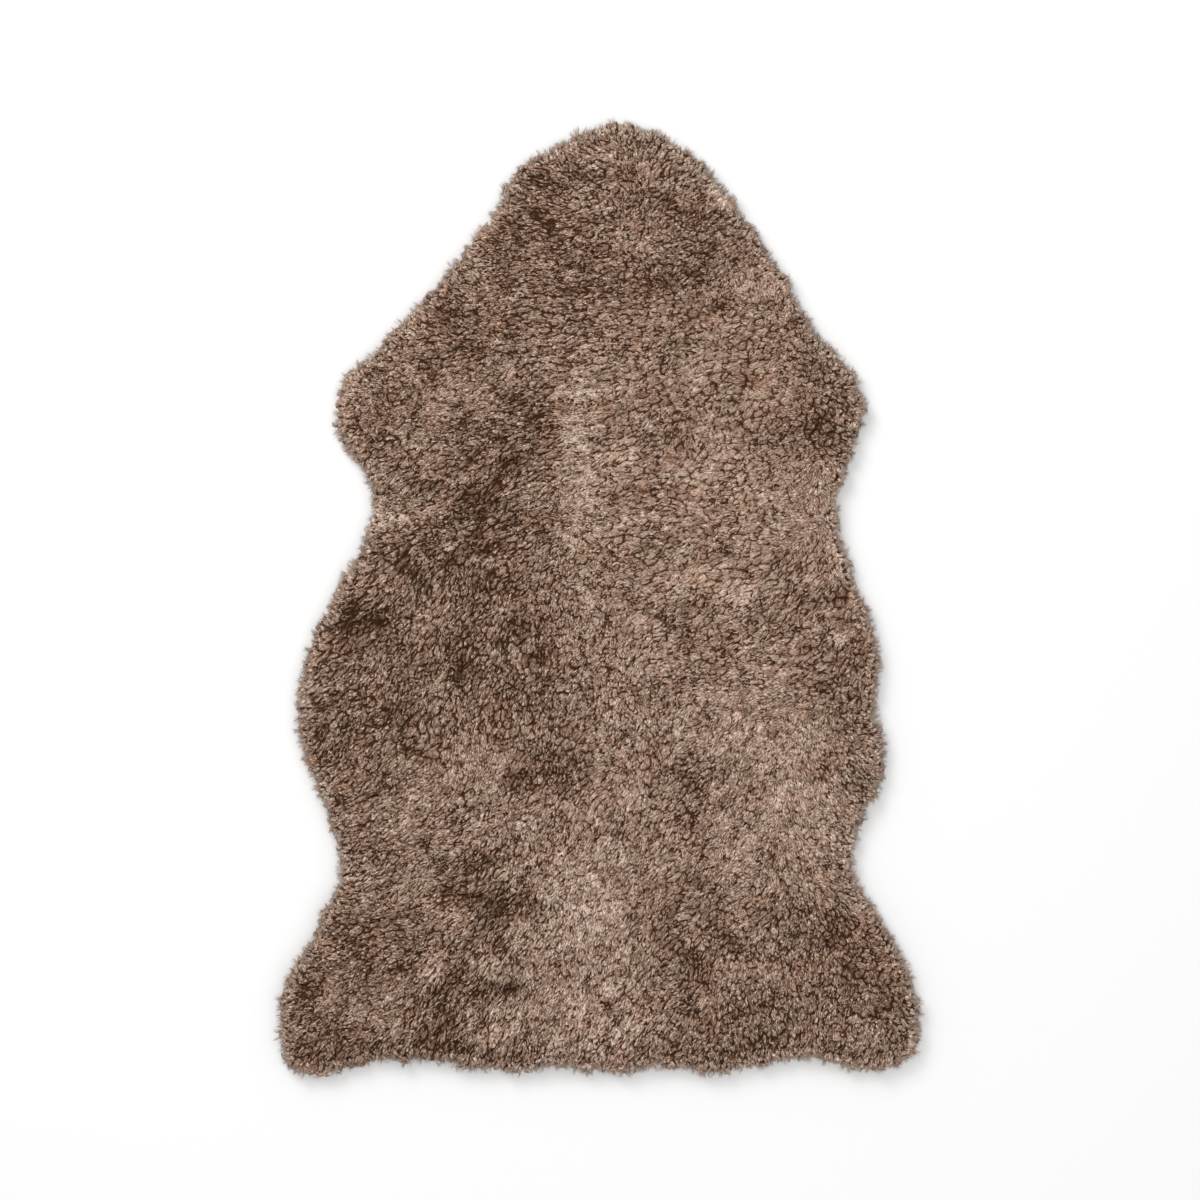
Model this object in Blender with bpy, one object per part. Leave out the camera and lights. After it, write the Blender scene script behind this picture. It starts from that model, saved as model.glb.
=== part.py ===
"""A curly sheepskin rug: one tanned skin with its own short wool, lying flat with the wool up.

Metres, +Z up. +Y runs from the tail edge to the neck and +X to the right, seen from above. The
origin is on the floor, under the middle of the rug.
"""

import math
from collections import namedtuple

import bmesh
import bpy
import numpy as np
from mathutils import Vector, geometry, noise

MM = 0.001

# Driving sizes
HIDE_THICKNESS = 2.0 * MM
HIDE_INSET = 15.0 * MM  # from the wool's outline in to the cut edge of the hide
PILE_HEIGHT = 27.5 * MM  # floor to the mean top of the wool, away from the rim
ROUNDING = 9.0 * MM  # how fast the pile rises from the rim

# Unevenness of the pile, each as a height and the spacing at which it repeats
SWELL_HEIGHT, SWELL_SPACING = 3.0 * MM, 170.0 * MM
LUMP_HEIGHT, LUMP_SPACING = 4.2 * MM, 36.0 * MM
TUFT_HEIGHT, TUFT_SPACING = 5.0 * MM, 21.0 * MM
TUFT_SHIFT = 5.5 * MM  # how far a tuft lies off its even place
TUFT_SEED = 11

# The rim from the top down, in mm: how far inside the wool's outline, and height over the floor
RimLevel = namedtuple("RimLevel", "place inset height")
RIM = (
    RimLevel("turn of the wool", 9.0, 17.5),
    RimLevel("widest", 7.0, 10.5),
    RimLevel("under the overhang", 8.5, 3.5),
)

# A lock grows from every step round the rim, one from its upper half and the next from its lower
LOCK_COUNT = 288
LOCK_LENGTH = 8.0 * MM
LOCK_SWING = 13.0  # degrees to either side of straight out
LOCK_WAIST = 0.9  # width halfway along, as a share of the root
LOCK_TIP = 0.45
LOCK_SEED = 5

# The wool's outline, read down the skin in mm: y of the section, and x of its left and right edge
Section = namedtuple("Section", "place y left right")
SECTIONS = (
    Section("neck", 424, -50, 83),
    Section("neck", 396, -85, 112),
    Section("neck", 363, -101, 137),
    Section("neck", 330, -127, 158),
    Section("neck", 292, -160, 184),
    Section("shoulder", 259, -188, 199),
    Section("shoulder", 236, -213, 220),
    Section("foreleg", 207, -241, 243),
    Section("foreleg", 177, -247, 252),
    Section("foreleg", 146, -241, 242),
    Section("waist", 118, -219, 231),
    Section("waist", 83, -214, 224),
    Section("waist", 50, -225, 231),
    Section("belly", 19, -243, 241),
    Section("belly", -19, -262, 256),
    Section("belly", -57, -278, 265),
    Section("belly", -104, -285, 261),
    Section("belly", -146, -279, 271),
    Section("flank", -174, -266, 266),
    Section("flank", -200, -259, 252),
    Section("flank", -231, -248, 241),
    Section("flank", -262, -244, 240),
    Section("hind leg", -288, -258, 258),
    Section("hind leg", -321, -271, 276),
    Section("hind leg", -344, -286, 289),
    Section("hind leg", -370, -301, 299),
    Section("hind leg", -401, -301, 303),
    Section("hind leg", -426, -302, 300),
)

# The two ends, from left to right in mm
EdgePoint = namedtuple("EdgePoint", "x y")
NECK_EDGE = (EdgePoint(-26, 436), EdgePoint(9, 449), EdgePoint(52, 442))
TAIL_EDGE = (
    EdgePoint(-283, -449),
    EdgePoint(-255, -447),
    EdgePoint(-212, -436),
    EdgePoint(-170, -436),
    EdgePoint(-123, -442),
    EdgePoint(-80, -445),
    EdgePoint(-38, -442),
    EdgePoint(19, -448),
    EdgePoint(57, -442),
    EdgePoint(108, -447),
    EdgePoint(170, -435),
    EdgePoint(203, -434),
    EdgePoint(236, -442),
    EdgePoint(269, -444),
    EdgePoint(288, -437),
)

# Soft troughs in the wool, in mm: from one end to the other, half width and depth. Partings are long,
# and hollows are short.
Trough = namedtuple("Trough", "place x0 y0 x1 y1 width depth")
TROUGHS = (
    Trough("neck, left", -60, 390, -38, 345, 26, 6.1),
    Trough("neck, right", 70, 375, 95, 335, 24, 4.7),
    Trough("neck, across", -40, 305, 60, 300, 20, 4.1),
    Trough("shoulder crease", 95, 277, 180, 274, 7, 5.4),
    Trough("shoulder, left", -150, 265, -115, 235, 24, 4.1),
    Trough("left of the spine, upper", -62, 195, -72, 130, 22, 8.1),
    Trough("left of the spine, middle", -72, 130, -130, 75, 24, 6.8),
    Trough("left of the spine, lower", -130, 75, -190, 35, 22, 6.8),
    Trough("spine, branch", -100, 60, -100, 5, 18, 5.4),
    Trough("belly, left", -225, -15, -180, -60, 26, 4.7),
    Trough("belly, left of middle", -130, -40, -120, -80, 22, 4.7),
    Trough("belly, left edge", -255, -110, -190, -125, 28, 4.1),
    Trough("loin", -85, -165, -20, -165, 22, 5.4),
    Trough("rump, left, upper", -140, -270, -70, -285, 16, 8.1),
    Trough("rump, left, tail", -105, -285, -108, -315, 13, 5.4),
    Trough("tail, left, upright", -140, -345, -148, -430, 18, 8.1),
    Trough("tail, left, across", -125, -370, -75, -370, 14, 6.1),
    Trough("belly crease, left", -230, -190, -205, -180, 7, 5.4),
    Trough("spine, right, low", 85, -180, 82, -230, 18, 4.7),
    Trough("rump, right, inner", 65, -310, 85, -345, 17, 6.1),
    Trough("rump, right, outer", 115, -310, 132, -330, 14, 6.1),
    Trough("tail, right", 82, -370, 90, -395, 16, 4.7),
    Trough("foreleg, right", 200, 165, 225, 145, 28, 5.4),
    Trough("hind leg, right", 225, -305, 250, -350, 26, 5.4),
    Trough("belly, right", 85, -20, 100, -60, 16, 4.7),
)

WOOL_COLOUR = (0.30, 0.20, 0.145, 1.0)
HIDE_COLOUR = (0.52, 0.38, 0.26, 1.0)


def outline_controls():
    """The outline's own points in metres, clockwise from the left of the neck."""
    right = [(s.right, s.y) for s in SECTIONS]
    left = [(s.left, s.y) for s in reversed(SECTIONS)]
    ends = [(p.x, p.y) for p in NECK_EDGE], [(p.x, p.y) for p in reversed(TAIL_EDGE)]
    return np.array(ends[0] + right + ends[1] + left) * MM


def closed_curve(controls, count, fine=24):
    """A smooth closed curve through the controls, as count points evenly spaced along it."""
    t = np.linspace(0.0, 1.0, fine, endpoint=False)[:, None]
    before, after = np.roll(controls, 1, axis=0), np.roll(controls, -1, axis=0)
    beyond = np.roll(controls, -2, axis=0)
    pieces = []
    for p0, p1, p2, p3 in zip(before, controls, after, beyond):
        gap = math.dist(p1, p2)
        leave = (p2 - p0) * gap / (gap + math.dist(p0, p1))
        arrive = (p3 - p1) * gap / (gap + math.dist(p2, p3))
        pieces.append(
            (2 * t**3 - 3 * t**2 + 1) * p1
            + (t**3 - 2 * t**2 + t) * leave
            + (3 * t**2 - 2 * t**3) * p2
            + (t**3 - t**2) * arrive
        )
    dense = np.concatenate(pieces)
    steps = np.linalg.norm(np.roll(dense, -1, axis=0) - dense, axis=1)
    along = np.concatenate([[0.0], np.cumsum(steps)])
    wanted = np.linspace(0.0, along[-1], count, endpoint=False)
    ring = np.vstack([dense, dense[:1]])
    return np.column_stack([np.interp(wanted, along, ring[:, axis]) for axis in (0, 1)])


def outward(curve):
    """Unit normals of a clockwise curve, pointing out of it."""
    tangent = np.roll(curve, -2, axis=0) - np.roll(curve, 2, axis=0)
    normal = np.column_stack([-tangent[:, 1], tangent[:, 0]])
    return normal / np.linalg.norm(normal, axis=1)[:, None]


def inset(curve, distance):
    """The curve moved in by a distance."""
    return curve - outward(curve) * distance


def distance_to(curve, points):
    """How far each point is from the curve's nearest edge."""
    a, b = curve, np.roll(curve, -1, axis=0)
    edge = b - a
    reach = points[:, None, :] - a[None]
    share = (reach * edge).sum(-1) / (edge * edge).sum(-1)
    foot = a + np.clip(share, 0.0, 1.0)[..., None] * edge
    return np.linalg.norm(points[:, None, :] - foot, axis=-1).min(axis=1)


def is_inside(curve, points):
    """Whether each point lies inside the curve, by counting crossings to its right."""
    x0, y0 = curve.T
    x1, y1 = np.roll(curve, -1, axis=0).T
    px, py = points[:, :1], points[:, 1:]
    spans = (y0 > py) != (y1 > py)
    crossing = x0 + (py - y0) * (x1 - x0) / np.where(y1 == y0, 1.0, y1 - y0)
    return (spans & (px < crossing)).sum(axis=1) % 2 == 1


def trough_depth(x, y):
    """How much lower the troughs make the wool at a point."""
    depth = 0.0
    for trough in TROUGHS:
        start = np.array([trough.x0, trough.y0]) * MM
        run = np.array([trough.x1, trough.y1]) * MM - start
        reach = np.array([x, y]) - start
        share = min(1.0, max(0.0, float(reach @ run / (run @ run))))
        away = np.linalg.norm(reach - share * run) / (trough.width * MM)
        depth = max(depth, trough.depth * MM * math.exp(-(away**2)))
    return depth


def lump_height(x, y):
    return LUMP_HEIGHT * noise.noise(Vector((x, y, 0.7)) / LUMP_SPACING)


def wool_height(x, y, from_rim):
    """Height of the wool's top over the floor, without its tufts, at a distance from the rim's turn."""
    swell = SWELL_HEIGHT * noise.noise(Vector((x, y, 0.3)) / SWELL_SPACING)
    full = PILE_HEIGHT + swell - trough_depth(x, y)
    rise = 1.0 - math.exp(-from_rim / ROUNDING)
    low = RIM[0].height * MM
    return low + (full - low) * rise + lump_height(x, y) * (0.4 + 0.6 * rise)


def triangles(points, loop=()):
    """The best-shaped triangles between flat points, as indices, inside the loop if there is one."""
    flat = [Vector(p) for p in points]
    how = 1 if loop else 0
    _, _, faces, sources, _, _ = geometry.delaunay_2d_cdt(flat, [], [loop] if loop else [], how, 1e-7)
    return [[sources[i][0] for i in face] for face in faces]


def top_points(outline):
    """Points across the top of the wool, inside the rim's turn: the crowns of its tufts, and a low
    point between every three of them."""
    rng = np.random.default_rng(TUFT_SEED)
    turn = RIM[0].inset * MM
    ring = inset(outline, turn + 0.34 * TUFT_SPACING)
    low, high = outline.min(axis=0), outline.max(axis=0)
    row_gap = TUFT_SPACING * math.sqrt(3) / 2
    rows, columns = np.mgrid[
        : (high[1] - low[1]) / row_gap + 1,
        : (high[0] - low[0]) / TUFT_SPACING + 1,
    ]
    x = low[0] + TUFT_SPACING * (columns + rows % 2 / 2)
    y = low[1] + row_gap * rows
    field = np.column_stack([x.ravel(), y.ravel()])
    field = field + rng.uniform(-TUFT_SHIFT, TUFT_SHIFT, field.shape)
    clear = distance_to(outline, field) > turn + 0.95 * TUFT_SPACING
    crowns = np.concatenate([ring[::2], field[is_inside(outline, field) & clear]])

    between = np.array([crowns[face].mean(axis=0) for face in triangles(crowns)])
    clear = distance_to(outline, between) > turn + 0.5 * TUFT_SPACING
    dips = np.concatenate([ring[1::2], between[is_inside(outline, between) & clear]])

    points = np.concatenate([crowns, dips])
    share = np.repeat([2 / 3, -1 / 3], [len(crowns), len(dips)])
    tufts = TUFT_HEIGHT * share * rng.uniform(0.6, 1.3, len(points))
    heights = [
        wool_height(x, y, distance - turn)
        for (x, y), distance in zip(points, distance_to(outline, points))
    ]
    return points, np.array(heights) + tufts


def add_lock(bm, root, out, rng, upper):
    """A four-sided lock that grows from a quad of the rim, bends aside and down, and ends in a short
    edge. The root's corners run along its top and back along its bottom."""
    middle = sum((v.co for v in root), Vector()) / 4
    side = (root[1].co - root[0].co).normalized()
    swing = math.radians(rng.uniform(-LOCK_SWING, LOCK_SWING))
    lift = math.radians(rng.uniform(2, 16) if upper else rng.uniform(-8, 4))
    length = LOCK_LENGTH * rng.uniform(0.8, 1.15)
    way = (out + side * math.tan(swing) + Vector((0.0, 0.0, math.tan(lift)))).normalized()
    bend = side * rng.uniform(-0.9, 0.9) * MM
    waist_middle = middle + way * (0.52 * length) + bend
    waist = [bm.verts.new(waist_middle + (v.co - middle) * LOCK_WAIST) for v in root]
    half = side * (LOCK_TIP / 2 * (root[1].co - root[0].co).length)
    end = middle + way * length - bend - Vector((0.0, 0.0, 0.22 * length))
    tips = [bm.verts.new(end - half), bm.verts.new(end + half)]
    for a in range(4):
        b = (a + 1) % 4
        bm.faces.new((root[a], root[b], waist[b], waist[a]))
    bm.faces.new((waist[0], waist[1], tips[1], tips[0]))
    bm.faces.new((waist[1], waist[2], tips[1]))
    bm.faces.new((waist[2], waist[3], tips[0], tips[1]))
    bm.faces.new((waist[3], waist[0], tips[0]))


def add_points(bm, curve, heights):
    """Vertices over the points of a curve or a field, in the same order."""
    return [bm.verts.new((x, y, z)) for (x, y), z in zip(curve, heights)]


def add_rim(bm, outline):
    """The rim's three levels with a lock on every step. Returns the rings, from the top down."""
    rings = []
    for level in RIM:
        curve = inset(outline, level.inset * MM)
        heights = np.full(LOCK_COUNT, level.height * MM)
        if level is RIM[0]:
            heights = heights + [0.4 * lump_height(x, y) for x, y in curve]
        rings.append(add_points(bm, curve, heights))
    normals = outward(outline)
    rng = np.random.default_rng(LOCK_SEED)
    for step in range(LOCK_COUNT):
        after = (step + 1) % LOCK_COUNT
        out = Vector((*(normals[step] + normals[after]), 0.0)).normalized()
        for row in (0, 1):
            top, bottom = rings[row], rings[row + 1]
            corners = (top[step], top[after], bottom[after], bottom[step])
            if step % 2 == row:
                add_lock(bm, corners, out, rng, upper=row == 0)
            else:
                bm.faces.new(corners)
    return rings


def add_top(bm, outline, rim_ring):
    """The tufted top of the wool, in triangles between the rim's turn and the points inside it."""
    curve = inset(outline, RIM[0].inset * MM)
    points, heights = top_points(outline)
    every = rim_ring + add_points(bm, points, heights)
    for face in triangles([*curve, *points], loop=list(range(len(curve)))):
        bm.faces.new([every[i] for i in face])


def add_underside(bm, outline, rim_ring):
    """The wool's underside in to the hide, the hide's cut edge and its flat face on the floor."""
    curve = inset(outline, HIDE_INSET)[::2]
    top = add_points(bm, curve, np.full(len(curve), HIDE_THICKNESS))
    bottom = add_points(bm, curve, np.zeros(len(curve)))
    hide = []
    for i in range(len(curve)):
        j = (i + 1) % len(curve)
        first, second, third = rim_ring[2 * i], rim_ring[2 * i + 1], rim_ring[2 * j]
        bm.faces.new((top[i], second, first))
        bm.faces.new((top[i], top[j], second))
        bm.faces.new((top[j], third, second))
        hide.append(bm.faces.new((top[i], bottom[i], bottom[j], top[j])))
    hide.append(bm.faces.new(bottom))
    for face in hide:
        face.material_index = 1
    bmesh.ops.triangulate(bm, faces=[hide[-1]])


def build_skin():
    """The whole skin as one closed mesh."""
    outline = closed_curve(outline_controls(), LOCK_COUNT)
    bm = bmesh.new()
    rings = add_rim(bm, outline)
    add_top(bm, outline, rings[0])
    add_underside(bm, outline, rings[-1])
    bmesh.ops.recalc_face_normals(bm, faces=bm.faces)
    return bm


def centre(bm):
    """Moves the mesh so that the middle of its box is over the origin."""
    corners = np.array([v.co for v in bm.verts])
    middle = (corners.min(axis=0) + corners.max(axis=0)) / 2
    bmesh.ops.translate(bm, verts=bm.verts, vec=(-middle[0], -middle[1], 0.0))


def finish_material(name, colour, roughness):
    material = bpy.data.materials.new(name)
    material.use_nodes = True
    shader = material.node_tree.nodes["Principled BSDF"]
    shader.inputs["Base Color"].default_value = colour
    shader.inputs["Roughness"].default_value = roughness
    shader.inputs["Metallic"].default_value = 0.0
    return material


def main():
    for old in list(bpy.data.objects):
        bpy.data.objects.remove(old)
    bm = build_skin()
    centre(bm)
    mesh = bpy.data.meshes.new("sheepskin")
    bm.to_mesh(mesh)
    bm.free()
    mesh.materials.append(finish_material("wool", WOOL_COLOUR, 0.95))
    mesh.materials.append(finish_material("hide", HIDE_COLOUR, 0.85))
    bpy.context.scene.collection.objects.link(bpy.data.objects.new("sheepskin", mesh))


main()
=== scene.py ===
import math

import bpy
import numpy as np
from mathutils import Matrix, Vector, geometry, kdtree, noise


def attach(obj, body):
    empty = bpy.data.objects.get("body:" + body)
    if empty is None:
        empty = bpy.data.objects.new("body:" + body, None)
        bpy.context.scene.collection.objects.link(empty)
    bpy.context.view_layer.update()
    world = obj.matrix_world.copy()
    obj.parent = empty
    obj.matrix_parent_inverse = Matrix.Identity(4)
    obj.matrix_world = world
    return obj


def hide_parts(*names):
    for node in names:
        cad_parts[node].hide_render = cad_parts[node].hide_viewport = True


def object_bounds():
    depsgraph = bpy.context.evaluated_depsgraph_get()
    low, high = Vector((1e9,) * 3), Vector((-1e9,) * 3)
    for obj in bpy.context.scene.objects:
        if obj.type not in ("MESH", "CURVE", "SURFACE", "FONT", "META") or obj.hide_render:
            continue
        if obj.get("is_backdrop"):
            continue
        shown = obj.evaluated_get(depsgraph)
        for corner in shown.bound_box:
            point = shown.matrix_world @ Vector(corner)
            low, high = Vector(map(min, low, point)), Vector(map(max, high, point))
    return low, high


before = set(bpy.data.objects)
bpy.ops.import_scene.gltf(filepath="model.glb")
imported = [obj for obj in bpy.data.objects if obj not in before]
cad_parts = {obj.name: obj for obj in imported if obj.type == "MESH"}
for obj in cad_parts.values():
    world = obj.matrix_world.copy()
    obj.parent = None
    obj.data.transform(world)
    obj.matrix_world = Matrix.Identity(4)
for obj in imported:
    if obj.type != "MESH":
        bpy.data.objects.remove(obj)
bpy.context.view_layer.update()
print("frame loaded")

mm = 0.001
node = "sheepskin"
tiny = 1e-9  # keeps a division whole where a length is nothing
chunk = 2000  # points worked on at once
scene = bpy.context.scene
noise.seed_set(5)  # without it noise_vector takes its offsets from the clock
scene.view_settings.view_transform = "Standard"


def addObject(name, data):
    made = bpy.data.objects.new(name, data)
    scene.collection.objects.link(made)
    return made


# view and light

studio = {
    "frameWidth": 1.1304,  # metres across the picture, at the height of the wool's rim
    "rimHeight": 0.018,
    "lens": 85.0,
    "sensor": 36.0,
    "farthest": 20.0,
    "floor": (0.8, 0.8, 0.8, 1.0),
    "floorReach": 6.0,
    "sky": 0.62,
}

lens = bpy.data.cameras.new("aboveTheRug")
lens.lens = studio["lens"]
lens.sensor_width = studio["sensor"]
lens.clip_end = studio["farthest"]
camera = addObject("aboveTheRug", lens)
camera.location = (0, 0, studio["rimHeight"] + studio["frameWidth"] * studio["lens"] / studio["sensor"])
scene.camera = camera

world = bpy.data.worlds.new("studio")
scene.world = world
world.use_nodes = True
background = world.node_tree.nodes["Background"]
background.inputs["Color"].default_value = (1.0, 1.0, 1.0, 1.0)
background.inputs["Strength"].default_value = studio["sky"]

lamps = [  # name, place, size and watts; each looks at the rug's middle
    ("softboxFromNeck", (-1.2, 1.6, 2.1), 1.3, 46.0),
    ("softboxOverhead", (0.3, 0.1, 3.4), 2.6, 34.0),
    ("fillFromTail", (0.9, -1.9, 2.3), 2.0, 12.0),
]
for name, place, size, watts in lamps:
    lamp = bpy.data.lights.new(name, "AREA")
    lamp.size = size
    lamp.energy = watts
    box = addObject(name, lamp)
    box.location = place
    box.rotation_euler = Vector(place).to_track_quat("Z", "Y").to_euler()

# shader writing

class Wire:
    # a shader output that can be added, multiplied and so on, as if it were a number
    def __init__(self, finish, socket):
        self.finish = finish
        self.socket = socket

    def maths(self, operation, a, b):
        return self.finish.node("Math", {"operation": operation}, {0: a, 1: b})

    def __add__(self, other):
        return self.maths("ADD", self, other)

    def __sub__(self, other):
        return self.maths("SUBTRACT", self, other)

    def __rsub__(self, other):
        return self.maths("SUBTRACT", other, self)

    def __mul__(self, other):
        return self.maths("MULTIPLY", self, other)

    def atLeast(self, other):
        return self.maths("MAXIMUM", self, other)

    __radd__ = __add__
    __rmul__ = __mul__


class Finish:
    # one material, and the one way its nodes are made
    def __init__(self, name, constants):
        self.material = bpy.data.materials.new(name)
        self.material.use_nodes = True
        self.tree = self.material.node_tree
        self.shader = self.tree.nodes["Principled BSDF"]
        for socket, value in constants.items():
            self.shader.inputs[socket].default_value = value

    def node(self, kind, settings=None, inputs=None, output=0):
        made = self.tree.nodes.new("ShaderNode" + kind)
        for key, value in (settings or {}).items():
            if key == "stops":
                self.setStops(made.color_ramp, value)
            else:
                setattr(made, key, value)
        for key, value in (inputs or {}).items():
            self.feed(made.inputs[key], value)
        return Wire(self, made.outputs[output])

    def setStops(self, ramp, stops):
        while len(ramp.elements) < len(stops):
            ramp.elements.new(0.5)
        for element, (place, colour) in zip(ramp.elements, stops):
            element.position = place
            element.color = (*colour, 1.0)

    def feed(self, socket, value):
        if isinstance(value, Wire):
            self.tree.links.new(value.socket, socket)
        else:
            socket.default_value = value

    def blend(self, share, colourA, colourB, mode="MIX"):
        settings = {"data_type": "RGBA", "blend_type": mode}
        return self.node("Mix", settings, {0: share, 6: colourA, 7: colourB}, 2)

    def stretch(self, vector, factors):
        return self.node("VectorMath", {"operation": "MULTIPLY"}, {0: vector, 1: factors})

    def remap(self, value, low, high, top, kind="LINEAR"):
        # 0 at low rising to top at high, and level beyond them
        inputs = {0: value, 1: low, 2: high, 3: 0.0, 4: top}
        return self.node("MapRange", {"interpolation_type": kind}, inputs)

    def cloud(self, vector, scale, detail, roughness=0.5):
        inputs = {"Vector": vector, "Scale": scale, "Detail": detail, "Roughness": roughness}
        return self.node("TexNoise", {"noise_dimensions": "3D"}, inputs)

    def place(self):
        return self.node("TexCoord", output="Object")

    def stored(self, name):
        return self.node("Attribute", {"attribute_name": name}, output="Fac")


def srgb(*levels):
    # an 0 to 255 screen colour as shader values
    return tuple(((v / 255 + 0.055) / 1.055) ** 2.4 for v in levels)


# the floor

half = studio["floorReach"]
square = [(-half, -half, 0), (half, -half, 0), (half, half, 0), (-half, half, 0)]
floorMesh = bpy.data.meshes.new("floor")
floorMesh.from_pydata(square, [], [(0, 1, 2, 3)])
paint = {"Base Color": studio["floor"], "Roughness": 0.9, "Specular IOR Level": 0.0}
floorMesh.materials.append(Finish("paleFloor", paint).material)
floor = addObject("floor", floorMesh)
floor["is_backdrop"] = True


# the skin's own shape, read from its solid

def readSolid(name):
    # corners joined again, and triangles
    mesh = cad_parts[name].data
    places = np.zeros(len(mesh.vertices) * 3, np.float32)
    mesh.vertices.foreach_get("co", places)
    joined, back = np.unique(np.round(places.reshape(-1, 3) * 1e5), axis=0, return_inverse=True)
    mesh.calc_loop_triangles()
    corners = np.zeros(len(mesh.loop_triangles) * 3, np.int32)
    mesh.loop_triangles.foreach_get("vertices", corners)
    return joined / 1e5, back.reshape(-1)[corners].reshape(-1, 3)


def edgeLoop(faces):
    # corners round the one edge of a patch of triangles
    sides = {(f[i], f[(i + 1) % 3]) for f in faces.tolist() for i in range(3)}
    after = {a: b for a, b in sides if (b, a) not in sides}
    loop = [min(after)]
    while after[loop[-1]] != loop[0]:
        loop.append(after[loop[-1]])
    return loop


def smoothClosed(curve, times):
    # Catmull-Rom points between the points of a closed curve
    t = (np.arange(times) / times)[:, None, None]
    p0, p1, p2, p3 = (np.roll(curve, shift, axis=0) for shift in (1, 0, -1, -2))
    made = 0.5 * (
        2 * p1 + (p2 - p0) * t
        + (2 * p0 - 5 * p1 + 4 * p2 - p3) * t**2
        + (3 * p1 - p0 - 3 * p2 + p3) * t**3
    )
    return made.transpose(1, 0, 2).reshape(-1, 2)


def unit(vectors, least=0.0):
    # the same vectors, each 1 long
    return vectors / (np.linalg.norm(vectors, axis=-1)[..., None] + least)


def outwardOf(curve):
    along = np.roll(curve, -1, axis=0) - np.roll(curve, 1, axis=0)
    return unit(np.column_stack([-along[:, 1], along[:, 0]]))


def depthInside(curve, points):
    # distance to a closed curve, positive inside it
    a, b = curve, np.roll(curve, -1, axis=0)
    edge = b - a
    depth = np.zeros(len(points))
    for low in range(0, len(points), chunk):
        part = points[low:low + chunk, None, :]
        share = np.clip(((part - a) * edge).sum(-1) / (edge * edge).sum(-1), 0, 1)
        away = np.linalg.norm(part - (a + share[..., None] * edge), axis=-1).min(axis=1)
        x, y = part[..., 0], part[..., 1]
        spans = (a[:, 1] > y) != (b[:, 1] > y)
        level = np.where(edge[:, 1] == 0, 1.0, edge[:, 1])
        crossed = spans & (x < a[:, 0] + (y - a[:, 1]) * edge[:, 0] / level)
        depth[low:low + chunk] = np.where(crossed.sum(axis=1) % 2 == 1, away, -away)
    return depth


skin = {
    "overhang": 15.0 * mm,  # from the hide's cut edge out to the tips of the wool
    "turnDepth": 13.0 * mm,  # how far in from the tips the side turns into the top
    "turnHeight": 20.0 * mm,
    "rounding": 10.0 * mm,
    "smoothing": 8.0 * mm,
    "hillReach": 45.0 * mm,
    "topHeight": 15.0 * mm,  # corners higher than this, and further in than the next, are its top
    "topDepth": 24.0 * mm,
    "edgePoints": 4,  # on the smoothed edge, for each corner of the solid's own
    "gridReach": (0.33, 0.48),  # half the breadth and half the length that the grids cover
    "gridPitch": 5.0 * mm,
}

corners, triangles = readSolid(node)
underside = triangles[(corners[triangles][:, :, 2] < 1e-5).all(axis=1)]
hideEdge = corners[edgeLoop(underside)][:, :2]
if (outwardOf(hideEdge) * hideEdge).sum() < 0:
    hideEdge = hideEdge[::-1]
hideEdge = smoothClosed(hideEdge, skin["edgePoints"])
outline = hideEdge + outwardOf(hideEdge) * skin["overhang"]
edgeDepth = depthInside(hideEdge, corners[:, :2]) + skin["overhang"]
onTop = corners[(corners[:, 2] > skin["topHeight"]) & (edgeDepth > skin["topDepth"])]


def woolLevel(points, reach):
    # mean height of the solid's top around each point
    level = np.zeros(len(points))
    for low in range(0, len(points), chunk):
        gap = points[low:low + chunk, None, :] - onTop[None, :, :2]
        weight = np.exp(-(gap**2).sum(-1) / (2 * reach**2)) + 1e-12
        level[low:low + chunk] = (weight * onTop[:, 2]).sum(1) / weight.sum(1)
    return level


# heights on an even grid, so that thousands of locks can be set on them quickly
pitch = skin["gridPitch"]
gridX, gridY = (np.arange(-reach, reach, pitch) for reach in skin["gridReach"])
gridPoints = np.stack(np.meshgrid(gridX, gridY), axis=-1)
flatPoints = gridPoints.reshape(-1, 2)
depthGrid = (depthInside(hideEdge, flatPoints) + skin["overhang"]).reshape(gridPoints.shape[:2])
near = woolLevel(flatPoints, skin["smoothing"]).reshape(depthGrid.shape)
wide = woolLevel(flatPoints, skin["hillReach"]).reshape(depthGrid.shape)
rise = 1 - np.exp(-np.maximum(depthGrid - skin["turnDepth"], 0) / skin["rounding"])
heightGrid = skin["turnHeight"] + (near - skin["turnHeight"]) * rise
hollowGrid = wide - near  # positive in the troughs
slopeY, slopeX = np.gradient(heightGrid, pitch)
outY, outX = np.gradient(-depthGrid, pitch)


def look(grid, points):
    # the grid's value at each point
    place = (points - [gridX[0], gridY[0]]) / pitch
    cell = np.clip(place.astype(int), 0, [len(gridX) - 2, len(gridY) - 2])
    fx, fy = (place - cell).T
    cx, cy = cell.T
    lower = grid[cy, cx] * (1 - fx) + grid[cy, cx + 1] * fx
    upper = grid[cy + 1, cx] * (1 - fx) + grid[cy + 1, cx + 1] * fx
    return lower * (1 - fy) + upper * fy


print("solid read:", len(onTop), "points of its top")


def treeOf(spots):
    # for finding the nearest of many places
    tree = kdtree.KDTree(len(spots))
    for i, (x, y) in enumerate(spots):
        tree.insert((x, y, 0), i)
    tree.balance()
    return tree


def noiseAt(points, scale, layer, kind=noise.noise):
    # smooth noise at each point, with about so many swells a metre
    return np.array([kind(Vector((x * scale, y * scale, layer))) for x, y in points])


def patchy(points, scale, layer=5.0):
    # smooth unevenness, about -0.5 to 0.5, with so many patches a metre
    return noiseAt(points, scale, layer, lambda place: noise.fractal(place, 0.8, 2.0, 3))


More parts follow.
